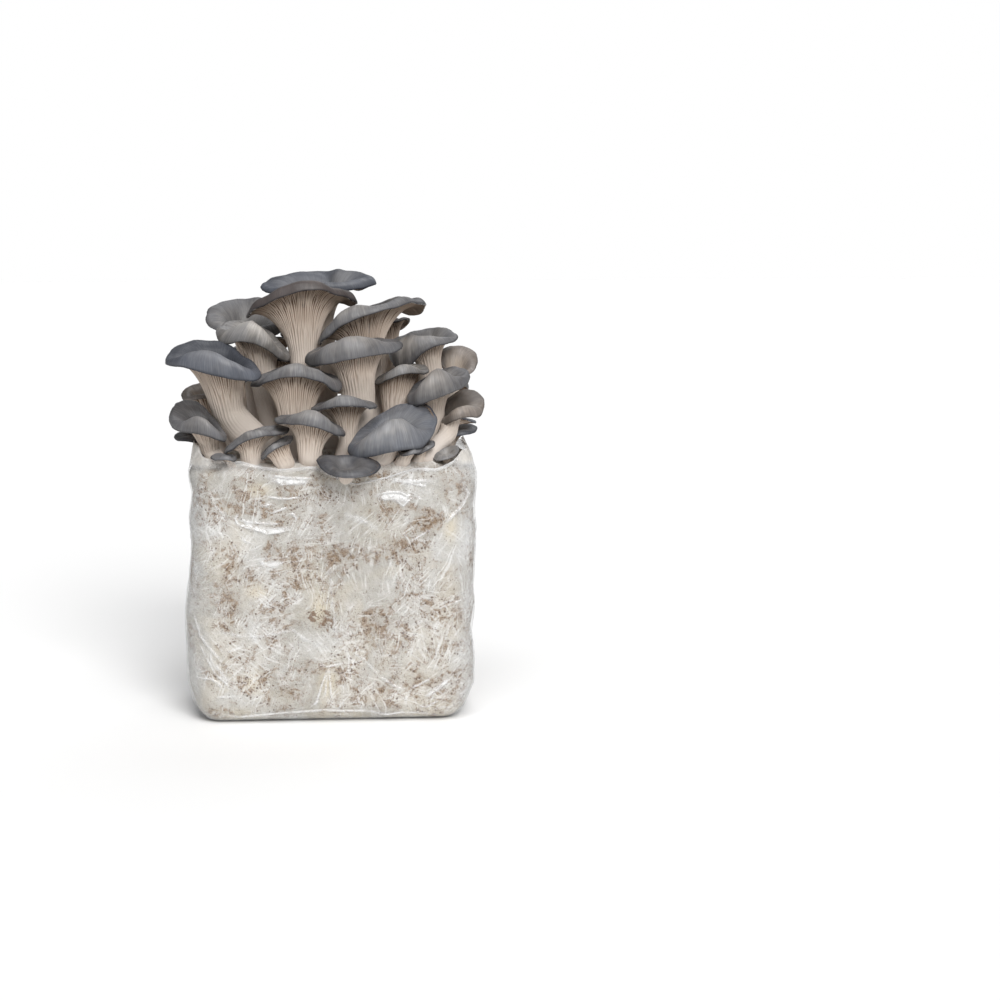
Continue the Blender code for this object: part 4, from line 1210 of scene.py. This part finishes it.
def makeFilm(setup, outline, surface):
    rows = profileRows(setup, setup["filmInset"], setup["filmSpacing"], False)
    creases = [(np.stack([wrapOf(setup, np.array([x for x, _ in line], float)),
                          [z for _, z in line]], 1), *rest) for line, *rest in frontCreases]
    creases += sideCreases(setup, outline[0][-1] / 2)
    body = spinSleeve(len(rows), setup["filmSteps"] // 3, openTop=True)
    cutRings(body, 2)
    flat = np.array([v.co[:] for v in body.verts])
    _, around, _, f, z, _ = filmPlace(setup, outline, flat, rows)
    near = np.where(f > 0, 99, creaseField(creases, around, z)[2])
    body.verts.ensure_lookup_table()
    chosen = dict.fromkeys(edge for k in np.where(near < setup["creaseReach"])[0]
                           for face in body.verts[k].link_faces for edge in face.edges)
    bmesh.ops.subdivide_edges(body, edges=list(chosen), cuts=3, use_grid_fill=True)
    mesh = meshFrom(body, "filmBag")
    flat = readSleeve(mesh)
    turned, around, w, f, z, top = filmPlace(setup, outline, flat, rows)
    height, paintedHighlight, near = creaseField(creases, around, z)
    points, wayX, wayY = placeOnBag(setup, outline, around, w, f, z, setup["filmInset"])

    wall = (f == 0).astype(float)
    slack = unevenness(np.stack([around, z, 0 * z], 1), 1 / 17, 2.0)
    ripples = unevenness(np.stack([around, z * 0.4, 0 * z], 1), 1 / 6, 9.0)
    sideShare = smooth(0.25, 0.9, np.abs(wayX))
    out = wall * (height + setup["slack"] * slack + setup["ripple"] * ripples
                  + sideShare * (setup["sideSlack"] * slack + setup["sideRipple"] * ripples))
    rise = np.clip((top - setup["shoulder"]) / 12, 0, 1)
    over = np.maximum(0, z - (setup["shoulder"] - setup["shoulderRadius"]))
    bend = setup["shoulderRadius"]
    follow = bend - np.sqrt(np.maximum(0.5, bend ** 2 - np.minimum(over, bend - 0.5) ** 2))
    inwards = setup["lean"] * over * rise + 0.5 * follow * (1 - rise)
    out = out - inwards + 0.8 * rise * np.sin(around / 5.0) * smooth(180, 197, z)
    points[:, 0] += wayX * out
    points[:, 1] += wayY * out
    points[:, 2] = np.maximum(points[:, 2], 0.0)
    moveTo(mesh, points)

    cut = smooth(1.6, 0.3, top - z)
    # whiter film at the sides and the bottom: partly the film's own haze where it hangs loose, partly a
    # painted reflection for its gloss where it turns away at a grazing angle
    hazeAndSheen = np.clip(sideShare * 0.9 + 0.5 * smooth(14, 2, z), 0, 1)
    # painted highlights along the creases
    addNumbers(mesh, "creaseHighlight", np.clip(paintedHighlight * wall, 0, 1))
    addNumbers(mesh, "cutEdge", cut)
    addNumbers(mesh, "hazeAndSheen", hazeAndSheen)
    addNumbers(mesh, "collar", smooth(184, 189, z) * smooth(2.5, 9, top - setup["shoulder"]))
    along = np.clip(flat[:, 2] / (len(rows) - 1), 0, 1)
    finishMesh(mesh, turned, along, np.hypot(flat[:, 0], flat[:, 1]) < 0.01)
    film = pieceFrom(mesh, "filmBag", ["bag"], "clear_film", surface)
    wallOf = film.modifiers.new("filmThickness", "SOLIDIFY")
    wallOf.thickness = setup["filmThickness"]
    wallOf.offset = -1
    return film


strandLooks = (  # turn in degrees, stretch along and across, threshold, strength, where they grow
    ((0, 38, 0), (34, 90, 620), 0.55, 0.60, 30.0), ((0, 66, 0), (40, 70, 760), 0.54, 0.60, 45.0),
    ((0, -35, 0), (36, 80, 680), 0.56, 0.55, 26.0), ((0, -78, 0), (44, 90, 720), 0.55, 0.55, 38.0),
    ((0, 8, 0), (38, 70, 560), 0.56, 0.50, 33.0))


def makeBlockSurface(patches, loose, strands):
    # Sawdust grown through with white mycelium: greyish cream with white strands drawn over it, and
    # clusters of small brown specks where the sawdust shows.
    surface, tree, shader = newMaterial("mycelium", {"Roughness": 0.85, "Specular IOR Level": 0.25})
    stain, bare = attribute(tree, "stain"), attribute(tree, "bare")
    broad = patchOf(tree, patches, 26.0, 3.0, 0.36, 0.64, 0.5)
    clump = patchOf(tree, patches, 120.0, 4.0, 0.36, 0.64, 0.8)
    fine = patchOf(tree, patches, 650.0, 3.0, 0.34, 0.66)
    cluster = patchOf(tree, patches, 34.0, 4.0, 0.41, 0.59, 0.8)
    crumbs = patchOf(tree, patches, 210.0, 4.0, 0.46, 0.60, 0.5)
    cream = patchOf(tree, patches, 20.0, 2.0, 0.48, 0.66, 0.8)
    dirt = times(tree, cluster, plus(tree, times(tree, crumbs, 0.75), 0.18))
    base = layered(tree, mixColours(tree, broad, (0.365, 0.345, 0.308), (0.51, 0.50, 0.48)), (
        (clump, 0.40, (0.63, 0.62, 0.595)),
        (fine, 0.25, (0.42, 0.37, 0.31)),
        (cream, 0.30, (0.58, 0.51, 0.39)),
        (stain, 0.45, (0.71, 0.60, 0.40)),
        (dirt, 1, (0.245, 0.165, 0.098))))

    for turn, reach, low, strength, where in strandLooks:
        drawn = useGroup(tree, strands, Turn=tuple(math.radians(t) for t in turn),
                         Stretch=reach, Low=low, High=low + 0.10)
        grown = patchOf(tree, patches, where, 2.0, 0.47, 0.60, 0.3)
        base = layered(tree, base, ((times(tree, drawn, grown), strength, (0.76, 0.755, 0.745)),))

    dense = plus(tree, times(tree, times(tree, cluster, crumbs), 0.85),
                 plus(tree, times(tree, cluster, 0.18), times(tree, bare, 1.3)))
    many = useGroup(tree, loose, Scale=980.0, Density=plus(tree, dense, 0.05), Size=0.30)
    large = useGroup(tree, loose, Scale=430.0, Density=times(tree, dense, 0.45), Size=0.28)
    pits = stepMask(tree, plus(tree, times(tree, bare, 0.80), times(tree, crumbs, 0.60)),
                    0.72, 0.95)
    base = layered(tree, base, (
        (many, 0.90, (0.095, 0.052, 0.028)),
        (large, 0.90, (0.085, 0.044, 0.022)),
        (pits, 0.90, (0.17, 0.098, 0.052)),
        (attribute(tree, "moundShare"), 0.75, (0.80, 0.775, 0.74))))
    tree.links.new(base, shader.inputs["Base Color"])
    feedNormal(tree, shader, 0.5, 0.001, plus(tree, times(tree, clump, 0.8), times(tree, fine, 0.5)))
    return surface


def makeFilmSurface(patches):
    # Clear, slightly hazy film: almost invisible where it clings, with painted highlights along its
    # creases and a painted sheen where it turns away at the sides.
    surface, tree, shader = newMaterial(
        "clearFilm", {"Roughness": 0.14, "IOR": 1.5, "Specular IOR Level": 1.0})
    creaseHighlight, hazeAndSheen = attribute(tree, "creaseHighlight"), attribute(tree, "hazeAndSheen")
    cut, collar = attribute(tree, "cutEdge"), attribute(tree, "collar")
    broken = patchOf(tree, patches, 170.0, 3.0, 0.38, 0.60, 1.5)
    cloud = patchOf(tree, patches, 45.0, 3.0, 0.3, 0.75, 0.6)
    wisp = patchOf(tree, patches, 260.0, 2.0, 0.56, 0.70, 1.2)
    veil = plus(tree, times(tree, cloud, 0.04), 0.02)
    # at the sides and the bottom: the film's haze and a painted reflection of its grazing-angle gloss
    sides = times(tree, hazeAndSheen, plus(tree, times(tree, cloud, 0.16), 0.10))
    raised = times(tree, collar, plus(tree, times(tree, cloud, 0.25), 0.45))
    # painted highlights: the film whiter and less clear along its creases
    highlightLines = times(tree, creaseHighlight, plus(tree, times(tree, broken, 0.45), 0.30))
    alpha = mathOf(tree, "ADD", plus(tree, veil, plus(tree, sides, raised)),
                   plus(tree, highlightLines, times(tree, wisp, 0.07)), clamp=True)
    alpha = mathOf(tree, "MAXIMUM", alpha, times(tree, cut, 0.45))
    tree.links.new(alpha, shader.inputs["Alpha"])
    # painted highlights tint the creases white
    tint = mixColours(tree, creaseHighlight, (0.90, 0.91, 0.92), (0.97, 0.97, 0.97))
    tint = layered(tree, tint, ((collar, 0.8, (0.74, 0.70, 0.64)),))
    tree.links.new(tint, shader.inputs["Base Color"])
    feedNormal(tree, shader, 0.6, 0.0012, patchOf(tree, patches, 110.0, 3.0, 0.2, 0.8, 1.0))
    return surface


print("materials")
fibreGroup, patchGroup = makeFibreGroup(), makePatchGroup()
speckGroup, strandGroup = makeSpeckGroup(), makeStrandGroup()
capSkins = {name: makeCapSkin(name + "Cap", colours, fibreGroup, patchGroup)
            for name, colours in capLooks.items()}
gillFlesh = makeGillFlesh(fibreGroup, patchGroup)

print("mushrooms")
for order, mushroom in enumerate(mushrooms):
    makeMushroom(mushroom, order, capSkins, gillFlesh)

print("block and film bag")
bagOutline = outlineOf(bagSetup)
makeBlock(bagSetup, bagOutline, makeBlockSurface(patchGroup, speckGroup, strandGroup))
makeFilm(bagSetup, bagOutline, makeFilmSurface(patchGroup))

print("camera, lights and floor")
makeCamera()
makeLights()
makeFloor()

for shape in bpy.context.scene.objects:
    if shape.type == "MESH":
        print(shape.name, len(shape.data.polygons), "faces")
print("finish")
